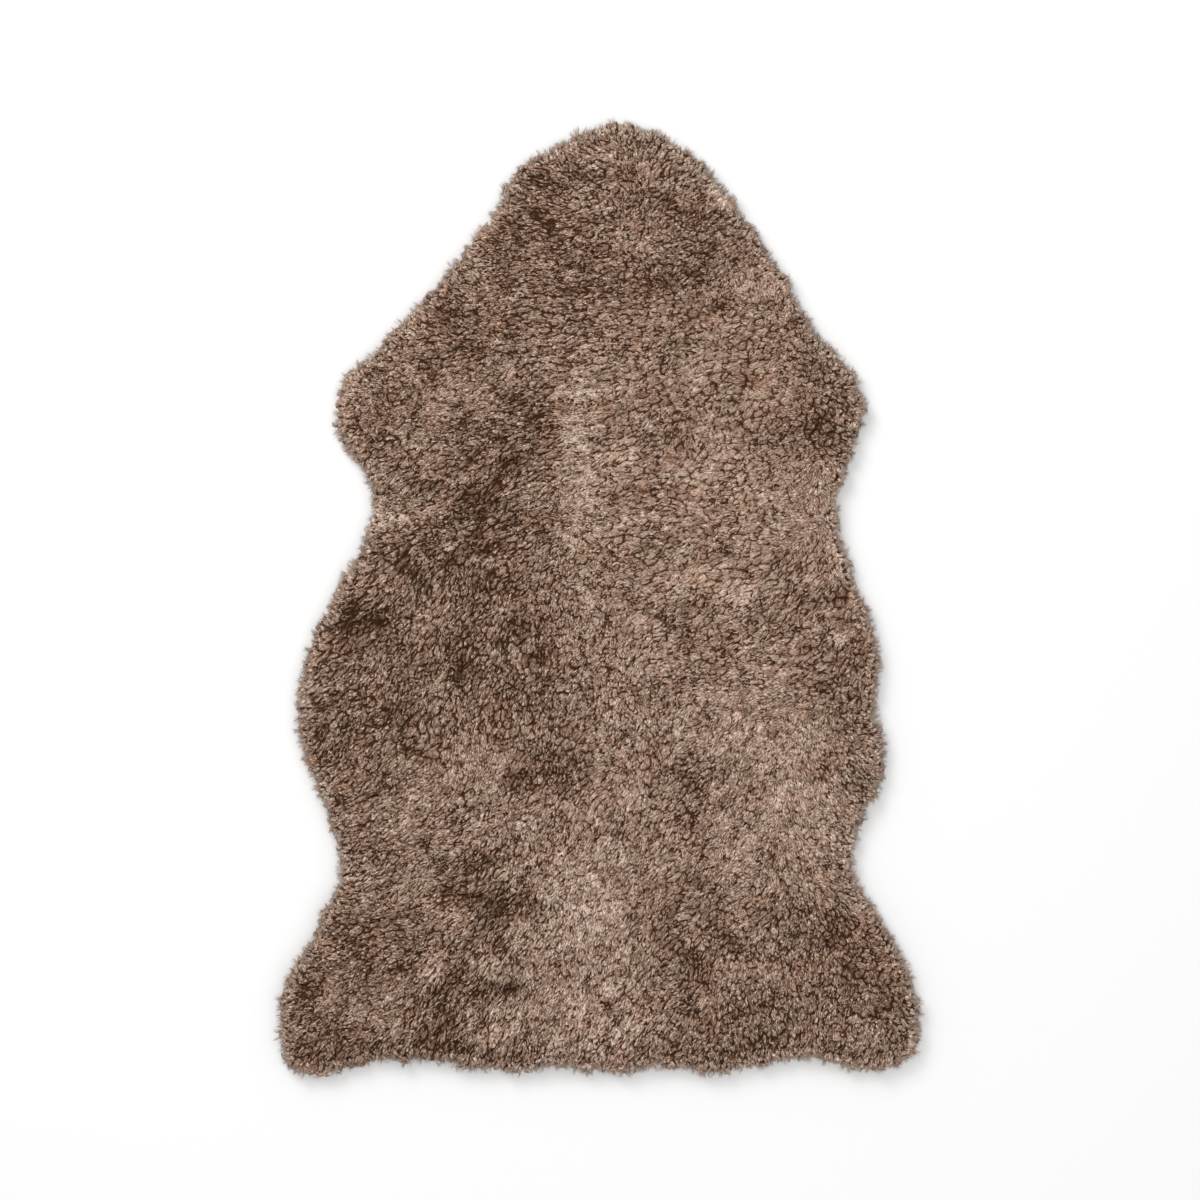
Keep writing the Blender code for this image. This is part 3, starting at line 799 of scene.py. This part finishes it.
def lockMesh(name, locks, finish):
    # one mesh of many locks, with a map that gives each lock a square of its own
    shape, rings, sides = locks["corners"], locks["rings"], locks["sides"]
    count, each = shape.shape[:2]
    faces, onMap = [], []
    for k in range(rings - 1):
        for j in range(sides):
            after = (j + 1) % sides
            faces.append([k * sides + j, (k + 1) * sides + j, (k + 1) * sides + after, k * sides + after])
            onMap += [(j, k), (j, k + 1), (j + 1, k + 1), (j + 1, k)]
    for j in range(sides):
        last = (rings - 1) * sides
        faces.append([last + j, each - 1, last + (j + 1) % sides])
        onMap += [(j, rings - 1), (j + 0.5, rings), (j + 1, rings - 1)]
    order = np.concatenate(faces)[None] + (np.arange(count) * each)[:, None]
    sizes = np.tile([len(face) for face in faces], count)
    across = math.ceil(math.sqrt(count))
    cell = np.stack([np.arange(count) % across, np.arange(count) // across], axis=1)
    mapped = 0.06 + 0.88 * np.array(onMap, float) / [sides, rings]
    mapped = (cell[:, None, :] + mapped[None]) / across
    maps = {"strand": mapped, "OFBake": mapped}
    return meshOf(name, shape.reshape(-1, 3), order.ravel(), sizes, maps, locks["stored"], finish)


def dress(piece):
    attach(piece, "root")
    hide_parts(node)


# the wool's colour

wool = {
    # deep is the darkest colour, that of the painted shade in the creases and the dark patches
    "deep": srgb(52, 29, 13),
    "shade": srgb(108, 82, 65),
    "body": srgb(172, 147, 130),
    "bright": srgb(222, 205, 191),
    "warm": srgb(182, 141, 116),
    "cool": srgb(156, 144, 124),
    "stops": (0.0, 0.3, 0.62, 0.92),  # levels at which it is deep, shade, body and bright
    "level": 0.185,
    "drift": 0.16,  # broad unevenness
    "open": 0.25,  # how much lighter a lock is than the dense wool
    "paintedShade": (1.0, 4.0),  # mm under a lock's top where its painted shade starts and is full
    "paintedShadeDark": (0.42, 0.16),  # how dark that painted shade gets, and what a loose lock adds
    "tint": 0.18,  # how much locks differ
    # tone: how much the patches' painted shade and painted light, and the wool's own uneven tone, change its
    # colour
    "tone": 0.3,
    "strands": 0.55,
    "fineness": (1.5, 1.0, 1.6),  # contrast of the fibres: felted, what a loose lock adds, dense wool
    "kept": (0.42, 0.065),  # so that hollows keep some of their wool's texture
    "warmth": 0.45,
    "coolness": 0.42,
}


def woolFinish(name, darkness, stored=True):
    finish = Finish(name, {
        "Sheen Weight": 0.05,
        "Sheen Roughness": 0.4,
        "Sheen Tint": (*srgb(230, 200, 175), 1.0),
        "Specular IOR Level": 0.14,
    })
    place = finish.place()
    drift = finish.cloud(place, 26.0, 3.0)
    level = (drift - 0.5) * wool["drift"] + (wool["level"] - darkness)
    felted, looser, dense = wool["fineness"]
    if stored:
        sunk, tint, tone, loose = (finish.stored(key) for key in ("sunk", "tint", "tone", "loose"))
        along = finish.node("UVMap", {"uv_map": "strand"})
        fibres = finish.cloud(finish.stretch(along, (850.0, 260.0, 1.0)), 1.0, 3.0, 0.6)
        strands = finish.cloud(finish.stretch(along, (420.0, 70.0, 1.0)), 1.0, 1.0)
        # painted shade: the deeper a point lies under its lock's top, the darker it is, as in the creases
        # between locks; the tone adds the patches' painted shade and painted light
        paintedShade = finish.remap(sunk, *wool["paintedShade"], 1.0, "SMOOTHSTEP")
        level = level + wool["open"] - paintedShade * (wool["paintedShadeDark"][0] + loose * wool["paintedShadeDark"][1])
        level = level + (tint - 0.5) * wool["tint"] + tone * wool["tone"]
        fineness = loose * looser + felted
    else:
        fibres = finish.cloud(place, 900.0, 3.0, 0.6)
        strands = finish.cloud(place, 260.0, 1.0)
        fineness = dense
    level = level + (strands - 0.5) * wool["strands"] + (fibres - 0.5) * fineness
    level = level.atLeast(level * wool["kept"][0] + wool["kept"][1])
    stops = list(zip(wool["stops"], (wool[key] for key in ("deep", "shade", "body", "bright"))))
    colour = finish.node("ValToRGB", {"stops": stops}, {0: level})
    hue = finish.cloud(place, 36.0, 3.0) * 0.65 + finish.cloud(place, 130.0, 2.0) * 0.35
    for share, key in (
        (finish.remap(hue, 0.5, 0.7, wool["warmth"]), "warm"),
        (finish.remap(hue, 0.48, 0.3, wool["coolness"]), "cool"),
    ):
        tinted = tuple(a / b for a, b in zip(wool[key], wool["body"]))
        colour = finish.blend(share, colour, finish.blend(1.0, colour, (*tinted, 1.0), "MULTIPLY"))
    finish.feed(finish.shader.inputs["Base Color"], colour)
    finish.feed(finish.shader.inputs["Roughness"], 0.95 - fibres * 0.25)
    relief = strands * 0.5 + fibres * 0.5
    bump = finish.node("Bump", None, {"Strength": 0.8, "Distance": 0.001, "Height": relief})
    finish.feed(finish.shader.inputs["Normal"], bump)
    return finish.material


lockWool = woolFinish("curledWool", 0.0)
print("wool finish made")


# the hide and the dense wool just over it

def fillEnd(ring, inner):
    # triangles between a closed ring and the points inside it, as indices of ring then inner
    flat = [Vector(p[:2]) for p in (*ring, *inner)]
    loop = list(range(len(ring)))
    found = geometry.delaunay_2d_cdt(flat, [], [loop], 1, 1e-7)
    return [[found[3][i][0] for i in face] for face in found[2]]


def closedSlab(name, rings, onTopOf, below, finish):
    # rings from the bottom up, closed over points at either end
    count = len(rings[0])
    places = np.concatenate([*rings, onTopOf, below])
    faces = []
    for k in range(len(rings) - 1):
        for j in range(count):
            after = (j + 1) % count
            faces.append([k * count + j, k * count + after, (k + 1) * count + after, (k + 1) * count + j])
    start = count * len(rings)
    upper = list(range(start - count, start + len(onTopOf)))
    start += len(onTopOf)
    lower = list(range(count)) + list(range(start, start + len(below)))
    faces += [[upper[i] for i in face] for face in fillEnd(rings[-1], onTopOf)]
    faces += [[lower[i] for i in face][::-1] for face in fillEnd(rings[0], below)]
    mesh = bpy.data.meshes.new(name)
    mesh.from_pydata(places.tolist(), [], faces)
    mesh.shade_smooth()
    mesh.validate()
    mesh.materials.append(finish)
    return addObject(name, mesh)


def evenPoints(gap, leastDepth, rng):
    # a slightly uneven field of points inside the outline
    rows = np.arange(gridY[0], gridY[-1], gap * 0.87)
    columns = np.arange(gridX[0], gridX[-1], gap)
    field = np.stack(np.meshgrid(columns, rows), axis=-1)
    field[1::2, :, 0] += gap / 2
    field = field.reshape(-1, 2) + rng.uniform(-0.28 * gap, 0.28 * gap, (len(rows) * len(columns), 2))
    return field[look(depthGrid, field) > leastDepth]


def ringAt(depth, height):
    # the outline moved in, at a height
    curve = outline - outwardOf(outline) * depth
    return np.column_stack([curve, np.broadcast_to(height, len(curve))])


mat = {
    "seed": 4,
    "below": 6.2 * mm,  # how far under the curls' tops the dense wool lies
    "uneven": 1.6 * mm,
    "bottom": 2.1 * mm,
    "gap": 9.0 * mm,
    "side": (  # depth in from the tips and height, in mm, from the bottom up
        (15.5, 2.1), (11.5, 3.2), (7.5, 5.0), (5.2, 8.2), (5.4, 11.8), (7.2, 15.0), (11.0, 16.6),
    ),
}
rng = np.random.default_rng(mat["seed"])
sideRings = [ringAt(depth * mm, height * mm) for depth, height in mat["side"]]
field = evenPoints(mat["gap"], 14.0 * mm, rng)
matLevel = look(heightGrid, field) - mat["below"]
matTop = np.column_stack([field, matLevel + mat["uneven"] * noiseAt(field, 170.0, 2.0)])
field = evenPoints(24 * mm, 24 * mm, rng)
matUnder = np.column_stack([field, np.full(len(field), mat["bottom"])])
denseWool = woolFinish("denseWool", 0.08, stored=False)
dress(closedSlab("woolBase", sideRings, matTop, matUnder, denseWool))

hide = {
    "thickness": 1.9 * mm,
    "gap": 12 * mm,
    "clear": 0.06 * mm,  # from the floor up to the lowest of its underside
    "ripple": 0.35 * mm,
    "edge": ((0.5, 0.12), (0.0, 0.6), (0.1, 1.5), (0.6, 1.9)),  # depth in from its cut edge and height, in mm
}
hideRings = [ringAt(skin["overhang"] + depth * mm, height * mm) for depth, height in hide["edge"]]
field = evenPoints(hide["gap"], skin["overhang"] + 8 * mm, rng)
ripple = hide["ripple"] * np.clip(0.5 + noiseAt(field, 18.0, 7.0), 0, 1)
hideUnder = np.column_stack([field, hide["clear"] + ripple])
field = evenPoints(30 * mm, skin["overhang"] + 14 * mm, rng)
hideTop = np.column_stack([field, np.full(len(field), hide["thickness"])])


def suedeFinish(name):
    finish = Finish(name, {"Sheen Weight": 0.25, "Sheen Roughness": 0.5, "Specular IOR Level": 0.25})
    place = finish.place()
    nap = finish.cloud(place, 420.0, 4.0, 0.6)
    mottle = finish.cloud(place, 9.0, 4.0, 0.6)
    veins = finish.cloud(finish.stretch(place, (26.0, 9.0, 1.0)), 1.0, 5.0, 0.7)
    level = 0.5 + (mottle - 0.5) * 0.9 + (veins - 0.5) * 0.5 + (nap - 0.5) * 0.35
    stops = [(0.15, srgb(168, 132, 96)), (0.5, srgb(196, 164, 128)), (0.85, srgb(216, 190, 158))]
    finish.feed(finish.shader.inputs["Base Color"], finish.node("ValToRGB", {"stops": stops}, {0: level}))
    finish.feed(finish.shader.inputs["Roughness"], 0.96 - nap * 0.16)
    bump = finish.node("Bump", None, {"Strength": 0.5, "Distance": 0.0005, "Height": nap * 0.6 + veins * 0.8})
    finish.feed(finish.shader.inputs["Normal"], bump)
    return finish.material


hidePiece = closedSlab("hide", hideRings, hideTop, hideUnder, suedeFinish("tannedSuede"))
dress(hidePiece)
x, y = hideRings[1][:, 0], hideRings[1][:, 1]
hideArea = abs((x * np.roll(y, -1) - y * np.roll(x, -1)).sum()) / 2
print("hide and dense wool made; the hide is", [round(float(v), 3) for v in (np.ptp(x), np.ptp(y), hideArea)])

# the top of the wool, one surface of tufts that are matted together, in four zones down the skin

tufts = {
    "seed": 15,
    "gap": 1.3 * mm,  # between the surface's points
    "spacing": (4.1 * mm, 5.4 * mm),  # least distance between two tufts' middles, alone and felted
    "combedSpacing": 3.6 * mm,
    "tries": 260000,
    "middles": 3.0 * mm,  # how far inside the wool's outline the outermost middles are
    "edge": 7.5 * mm,  # how far inside it the surface starts
    "long": (1.7, 0.8),  # how much longer than wide a tuft is that lies flat, alone and felted
    "rise": 2.2 * mm,  # how high a tuft stands over the cracks round it
    "uneven": 0.45 * mm,  # how much the heights of tufts differ
    "over": 0.7,  # how far a tuft leans over the crack before it
    "sink": 2.4 * mm,  # how much lower the wool lies in the darkest hollows
    "crack": (0.34, 0.2),  # breadth of the painted shade line in the crack between tufts, and what a dark patch adds
    "zones": ("woolNeck", "woolShoulders", "woolBelly", "woolRump"),
}
rng = np.random.default_rng(tufts["seed"])


def longAt(points):
    return between((between(tufts["long"], feltedAt(points)), tufts["long"][0]), combedAt(points))


def tuftStretch(points):
    way, lean = layAt(points, rng)
    return way, 1 + longAt(points) * lean


def tuftSpacing(points):
    even = between((between(tufts["spacing"], feltedAt(points)), tufts["combedSpacing"]), combedAt(points))
    return even * rng.uniform(0.75, 1.25, len(points)) * (1 + 0.8 * patchy(points, 55.0, 7.7))


found = scatter(
    tuftSpacing, lambda p: look(depthGrid, p) > tufts["middles"], tufts["tries"], rng, tuftStretch
)
tuftOrder = np.argsort(-found[0][:, 1])
tuftSpots, tuftSize, tuftWay, tuftLong = (values[tuftOrder] for values in found)
tuftLean = (tuftLong - 1) / longAt(tuftSpots)
tuftLift = rng.normal(0, tufts["uneven"], len(tuftSpots))
tuftTree = treeOf(tuftSpots)
print("tufts:", len(tuftSpots))


def tuftAt(points, dark, near=6):
    # The tuft that each point is on, 0 at its edge rising to 1 on its top, 1 in the crack falling to 0 beside
    # it, and how squarely the crack crosses the tuft's way. Points closer to a crack than the surface can
    # show are moved onto it, so that it stays thin.
    bent = points + 1.6 * mm * wander(points, 150.0, 1.7) + 0.8 * mm * wander(points, 400.0, 9.2)
    found = np.array([[hit[1] for hit in tuftTree.find_n((x, y, 0), near)] for x, y in bent])
    off = bent[:, None] - tuftSpots[found]
    way = tuftWay[found]
    side = np.stack([-way[..., 1], way[..., 0]], axis=-1)
    narrow = tuftLong[found] ** narrowing
    along, across = (off * way).sum(2) / tuftLong[found], (off * side).sum(2) * narrow
    away = np.hypot(along, across) / tuftSize[found]
    pull = (along / tuftLong[found])[..., None] * way + (across * narrow)[..., None] * side
    pull /= (tuftSize[found] ** 2 * away + 1e-9)[..., None]
    order = np.argsort(away, axis=1)
    rows = np.arange(len(points))
    first, second = order[:, 0], order[:, 1]
    inside = away[rows, second] - away[rows, first]
    fall = pull[rows, second] - pull[rows, first]
    steep = (fall**2).sum(1)
    onEdge = inside / np.sqrt(steep) < 0.45 * tufts["gap"]
    moved = points - np.where(onEdge, inside / steep, 0)[:, None] * fall
    inside = np.where(onEdge, 0, inside)
    facing = -(fall * way[rows, first]).sum(1) / np.sqrt(steep)  # 1 at a tuft's front and -1 at its back
    full = 1 - (1 - np.clip(inside / (0.6 + 0.4 * np.clip(-facing, 0, 1)), 0, 1)) ** 2
    crack = np.clip(1 - inside / (tufts["crack"][0] + tufts["crack"][1] * dark), 0, 1)
    return found[rows, first], full, crack, np.abs(facing), moved


def levelAt(points, tone):
    # height of the wool's top, with its bunches and hollows, and how deep in a seam between bunches
    gap, clumpOut = clumpAt(points)
    level = look(heightGrid, points) + (0.3 - gap) * clumps["dome"] + np.clip(tone, -1.2, 0) * tufts["sink"]
    return level, gap, clumpOut


columns = np.arange(gridX[0], gridX[-1], tufts["gap"])
rows = np.arange(gridY[0], gridY[-1], tufts["gap"] * 0.866)
grid = np.stack(np.meshgrid(columns, rows), axis=-1)
grid[1::2, :, 0] += tufts["gap"] / 2
grid += rng.uniform(-0.2, 0.2, grid.shape) * tufts["gap"]
number = np.arange(grid.shape[0] * grid.shape[1]).reshape(grid.shape[:2])
cellCorners = [number[:-1, :-1], number[:-1, 1:], number[1:, 1:], number[1:, :-1]]
faces = []
for first, corners3 in ((0, (0, 1, 3)), (0, (1, 2, 3)), (1, (0, 1, 2)), (1, (0, 2, 3))):
    faces.append(np.stack([cellCorners[i][first::2] for i in corners3], axis=-1).reshape(-1, 3))
faces = np.concatenate(faces)
points = grid.reshape(-1, 2)
inner = look(depthGrid, points) > tufts["edge"]
faces = faces[inner[faces].all(axis=1)]
used, faces = np.unique(faces, return_inverse=True)
faces, points = faces.reshape(-1, 3), points[used]
print("tuft surface:", len(faces), "triangles")

tone = toneAt(points)
dark = np.clip(-tone, 0, 1.2)
on, full, crack, facing, points = tuftAt(points, dark)
combed = combedAt(points)
felted = feltedAt(points) * (1 - combed)
level, gap, _ = levelAt(points, tone)
# parted sets how open each crack is, both in its relief and in the painted shade along it
squarely = between((facing**2, 1.2 - 1.2 * facing**2), tuftLean[on])
parted = 0.2 - 0.08 * felted - 0.3 * combed + 0.8 * squarely
parted = parted + 1.0 * patchy(points, 200.0, 3.3) + 0.3 * gap - 0.3 * tone
parted = np.clip(parted, 0.0, 1.2)  # how open the crack is
joined = 0.5 + 0.5 * parted
rimDrop = np.clip(12 * mm - look(depthGrid, points), 0, None) ** 2 / mm * 0.09
height = level + tufts["rise"] * (full - 1) * joined + full * tuftLift[on] - rimDrop
height += 0.3 * mm * patchy(points, 330.0, 4.4)
lean = (0.3 + 0.9 * tuftLean[on]) * tufts["over"] * tufts["rise"] * full * joined
tops = np.column_stack([points + tuftWay[on] * lean[:, None], height])
# painted shade: dark along the cracks and round each tuft's edge, deeper in the dark patches and on lower
# tufts
sunk = crack * parted * (4.2 - 1.4 * combed) + (1 - full) * (1.0 - 0.4 * combed + 1.1 * dark)
sunk = sunk - tuftLift[on] / mm * 0.6 + dark * 0.4
stored = {
    "sunk": sunk,
    # the patches' painted shade and painted light, with painted shade in the seams between bunches
    "tone": np.where(tone < 0, 0.6, 1.0) * tone - 0.2 * (gap - 0.3),
    "tint": rng.uniform(0, 1, len(tuftSpots))[on],
    "loose": 1 - felted,
}
shiftOf = rng.uniform(0, 1, (len(tuftSpots), 2))
bounds = np.linspace(0, len(tuftSpots), len(tufts["zones"]) + 1).astype(int)


def tuftMesh(name, faces, finish):
    # a part of the surface; its strand map runs along each tuft, and its bake map is seen from above
    owner = on[faces[:, 0]]
    used, local = np.unique(faces, return_inverse=True)
    off = (points[faces] - tuftSpots[owner][:, None]) / mm
    way = tuftWay[owner][:, None]
    sideways = off[..., 1] * way[..., 0] - off[..., 0] * way[..., 1]
    strand = np.stack([sideways, (off * way).sum(2)], axis=-1) * 0.0012 + shiftOf[owner][:, None]
    seen = points[faces]
    seen = (seen - seen.min(axis=(0, 1))) / np.ptp(seen, axis=(0, 1)).max()
    maps = {"strand": strand, "OFBake": seen}
    ofThese = {key: values[used] for key, values in stored.items()}
    return meshOf(name, tops[used], local.reshape(-1), np.full(len(faces), 3), maps, ofThese, finish)


zoneOf = np.searchsorted(bounds, on[faces[:, 0]], side="right") - 1
for k, zone in enumerate(tufts["zones"]):
    dress(tuftMesh(zone, faces[zoneOf == k], lockWool))

# single curled locks that stand out of the tufts

curls = {
    "seed": 21,
    "spacing": (5.0 * mm, 13.0 * mm),  # least distance between two locks, alone and felted
    "size": (5.8 * mm, 7.6 * mm),
    "tries": 200000,
    "edge": 11.0 * mm,  # how far inside the wool's outline the outermost ones stand
    "pieces": ("curlsUpper", "curlsLower"),
}
rng = np.random.default_rng(curls["seed"])
spots, *_ = scatter(
    lambda p: between(curls["spacing"], np.maximum(feltedAt(p), combedAt(p))),
    lambda p: look(depthGrid, p) > curls["edge"], curls["tries"], rng,
)
spots = spots[np.argsort(-spots[:, 1])]
print("curls on top:", len(spots))
felted = feltedAt(spots)
tone = toneAt(spots)
level, gap, clumpOut = levelAt(spots, tone)
flatWay, lean = layAt(spots, rng)
flatWay = flatWay * lean[:, None] + clumpOut * (clumps["splay"] * (1 - 0.6 * felted))[:, None]
lean = np.linalg.norm(flatWay, axis=1)
up = np.column_stack([-look(slopeX, spots), -look(slopeY, spots), np.ones(len(spots))])
up[:, :2] += clumpOut * 0.22
up = unit(up)
way = np.column_stack([flatWay, np.zeros(len(spots))])
way = unit(way - up * (way * up).sum(1)[:, None])
level += rng.normal(0.1, 0.4, len(spots)) * mm
size = between(curls["size"], felted) * rng.uniform(0.85, 1.15, len(spots))
uncurled = np.clip(rng.normal(0.0, 0.22, len(spots)), 0, 0.8) * (1 - 0.8 * felted)
# the tone passed on carries painted shade in the seams between bunches
locks = growLocks(
    curlForm, np.column_stack([spots, level]), up, way, size, lean, uncurled,
    rng.uniform(5, 6, len(spots)) * mm, tone - 0.2 * (gap - 0.3), rng
)
# felted locks get less painted shade
locks["stored"]["sunk"] -= 0.4 * felted[:, None]
bounds = np.linspace(0, len(spots), len(curls["pieces"]) + 1).astype(int)
for name, first, last in zip(curls["pieces"], bounds[:-1], bounds[1:]):
    dress(lockMesh(name, someLocks(locks, first, last), lockWool))

# the rim's locks, in rows from under the overhang up to the turn

rim = {
    "seed": 33,
    "spacing": 3.9 * mm,
    "size": 5.9 * mm,
    "uneven": (0.55, 1.25),  # least and most share of that size
    "rows": (-30, 2, 32, 62),  # degrees up the rim's side
    "depth": 12.0 * mm,
    "middle": 8.5 * mm,
    "upper": 12.0 * mm,
    "lower": 6.0 * mm,
    "lowest": 0.4 * mm,  # no wool at the rim comes nearer to the floor
}


def alongOutline(gap):
    # points every gap along the outline, and the ways out and along at each
    steps = np.linalg.norm(np.roll(outline, -1, axis=0) - outline, axis=1)
    along = np.concatenate([[0], np.cumsum(steps)])
    wanted = np.linspace(0, along[-1], int(along[-1] / gap), endpoint=False)
    ring = np.vstack([outline, outline[:1]])
    out = outwardOf(outline)
    out = np.vstack([out, out[:1]])
    at = np.column_stack([np.interp(wanted, along, ring[:, i]) for i in (0, 1)])
    out = unit(np.column_stack([np.interp(wanted, along, out[:, i]) for i in (0, 1)]))
    return at, out, np.column_stack([out[:, 1], -out[:, 0]])


def onSide(at, out, angle, deep, uneven):
    # places on the rim's side, some mm deep in it and more or less so where it is ragged, and their heights
    ragged = patchy(at, 75.0, 12.5) + 0.6 * patchy(at, 190.0, 2.5)
    inward = rim["depth"] * (1 - np.cos(angle)) + (deep + uneven * ragged) * mm
    tall = np.where(angle > 0, rim["upper"], rim["lower"])
    return at - out * inward[:, None], rim["middle"] + tall * np.sin(angle)


rng = np.random.default_rng(rim["seed"])
rimRows = []
for row in rim["rows"]:
    at, out, tangent = alongOutline(rim["spacing"])
    at = at + tangent * (rng.uniform(-0.5, 0.5, len(at)) * rim["spacing"])[:, None]
    angle = np.radians(row + rng.normal(0, 7, len(at)))
    place, high = onSide(at, out, angle, rng.normal(0.9, 1.2, len(at)), 3.2)
    up = np.column_stack([out * np.cos(angle)[:, None], np.sin(angle)])
    droop = np.column_stack([tangent * rng.normal(0, 0.9, len(at))[:, None], np.full(len(at), -0.6)])
    if row > 20:
        droop += np.column_stack([out, np.zeros(len(at))])
    uncurled = rng.uniform(0.5, 1.0, len(at)) * (1.0 if row < 50 else 0.6)
    way = unit(droop - up * (droop * up).sum(1)[:, None])
    # painted light: the rim's locks are made lighter, so that their steep sides, which get little light from
    # above, look as light as the top
    tone = toneAt(at - out * 8 * mm) * 0.7 + 0.45
    rimRows.append((np.column_stack([place, high]), up, way, uncurled, tone))
seats, up, way, uncurled, tone = (np.concatenate(values) for values in zip(*rimRows))
size = rim["size"] * rng.uniform(*rim["uneven"], len(seats))
lean = rng.uniform(0.1, 0.7, len(seats))
stalk = np.full(len(seats), 5 * mm)
locks = growLocks(rimForm, seats, up, way, size, lean, uncurled, stalk, tone, rng)
locks["corners"][..., 2] = np.maximum(locks["corners"][..., 2], rim["lowest"])
dress(lockMesh("woolRim", locks, lockWool))
print("rim:", len(seats), "locks")

# fine loose strands, round the rim and standing up out of the pile

wisps = {
    "seed": 77,
    "bunchGap": 1.6 * mm,  # between the small pointed bunches round the rim
    "each": 9,  # strands in a bunch
    "angle": (-35, 45),  # degrees up the rim's side
    "deep": (2.6, 4.6),  # mm
    "onTop": 900,
    "length": (6.2, 10.6),  # mm
    "topLength": (2.0, 4.0),
    "thick": (0.13, 0.28),
    "tone": 0.9,
}


def growWisps(foot, way, bend, length, thick, rng):
    # thin three-sided strands that bend over to one side
    count = len(foot)
    spine = np.stack([foot, foot + (way + bend * 0.4) * (length * 0.55)[:, None]], axis=1)
    tip = foot + unit(way + bend) * length[:, None]
    across = unit(np.cross(way, bend + rng.normal(0, 0.1, (count, 3))), tiny)
    flat = np.cross(way, across)
    rings = []
    for j in range(3):
        angle = j * 2 * math.pi / 3
        offset = across * math.cos(angle) + flat * math.sin(angle)
        rings.append(spine + offset[:, None] * (thick[:, None] * np.array([1.0, 0.8]))[..., None])
    shape = np.concatenate([np.stack(rings, axis=2).reshape(count, -1, 3), tip[:, None]], axis=1)
    none = np.zeros((count, shape.shape[1]))
    tint = rng.uniform(0.2, 1, (count, 1)) + none
    stored = {"sunk": none, "tone": none + wisps["tone"], "tint": tint, "loose": none}
    return {"corners": shape, "rings": 2, "sides": 3, "stored": stored}


def ofBunch(values):
    # the same value for every strand of a bunch
    return np.repeat(values, wisps["each"], axis=0)


rng = np.random.default_rng(wisps["seed"])
at, out, tangent = (ofBunch(values) for values in alongOutline(wisps["bunchGap"]))
total, bunches = len(at), len(at) // wisps["each"]
angle = np.radians(ofBunch(rng.uniform(*wisps["angle"], bunches)))
place, high = onSide(at, out, angle, ofBunch(rng.uniform(*wisps["deep"], bunches)), 3.0)
foot = np.column_stack([place + tangent * rng.normal(0, 0.9 * mm, total)[:, None], high])
foot[:, 2] += rng.normal(0, 0.6 * mm, total)
slant = ofBunch(rng.normal(0, 0.5, bunches)) + rng.normal(0, 0.13, total)
upward = np.sin(angle) + rng.normal(0, 0.1, total)
way = np.column_stack([out * np.cos(angle)[:, None] + tangent * slant[:, None], upward])
spots = evenPoints(9 * mm, 12 * mm, rng)
spots = spots[rng.permutation(len(spots))[:wisps["onTop"]]]
foot = np.concatenate([foot, np.column_stack([spots, look(heightGrid, spots) - 2.5 * mm])])
way = np.concatenate([way, np.column_stack([rng.normal(0, 0.9, (len(spots), 2)), np.ones(len(spots))])])
way = unit(way)
bend = rng.normal(0, 0.6, way.shape)
shared = np.column_stack([ofBunch(rng.normal(0, 0.4, bunches)) for _ in range(3)])
bend[:total] = shared + rng.normal(0, 0.12, (total, 3))
length = ofBunch(rng.uniform(*wisps["length"], bunches))
length = np.concatenate([length, rng.uniform(*wisps["topLength"], len(spots))]) * mm
length *= rng.uniform(0.8, 1.1, len(foot))
thick = rng.uniform(*wisps["thick"], len(foot)) * mm
strands = growWisps(foot, way, bend, length, thick, rng)
strands["corners"][..., 2] = np.maximum(strands["corners"][..., 2], rim["lowest"])
dress(lockMesh("woolWisps", strands, lockWool))
print("wisps:", len(foot))

low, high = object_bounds()
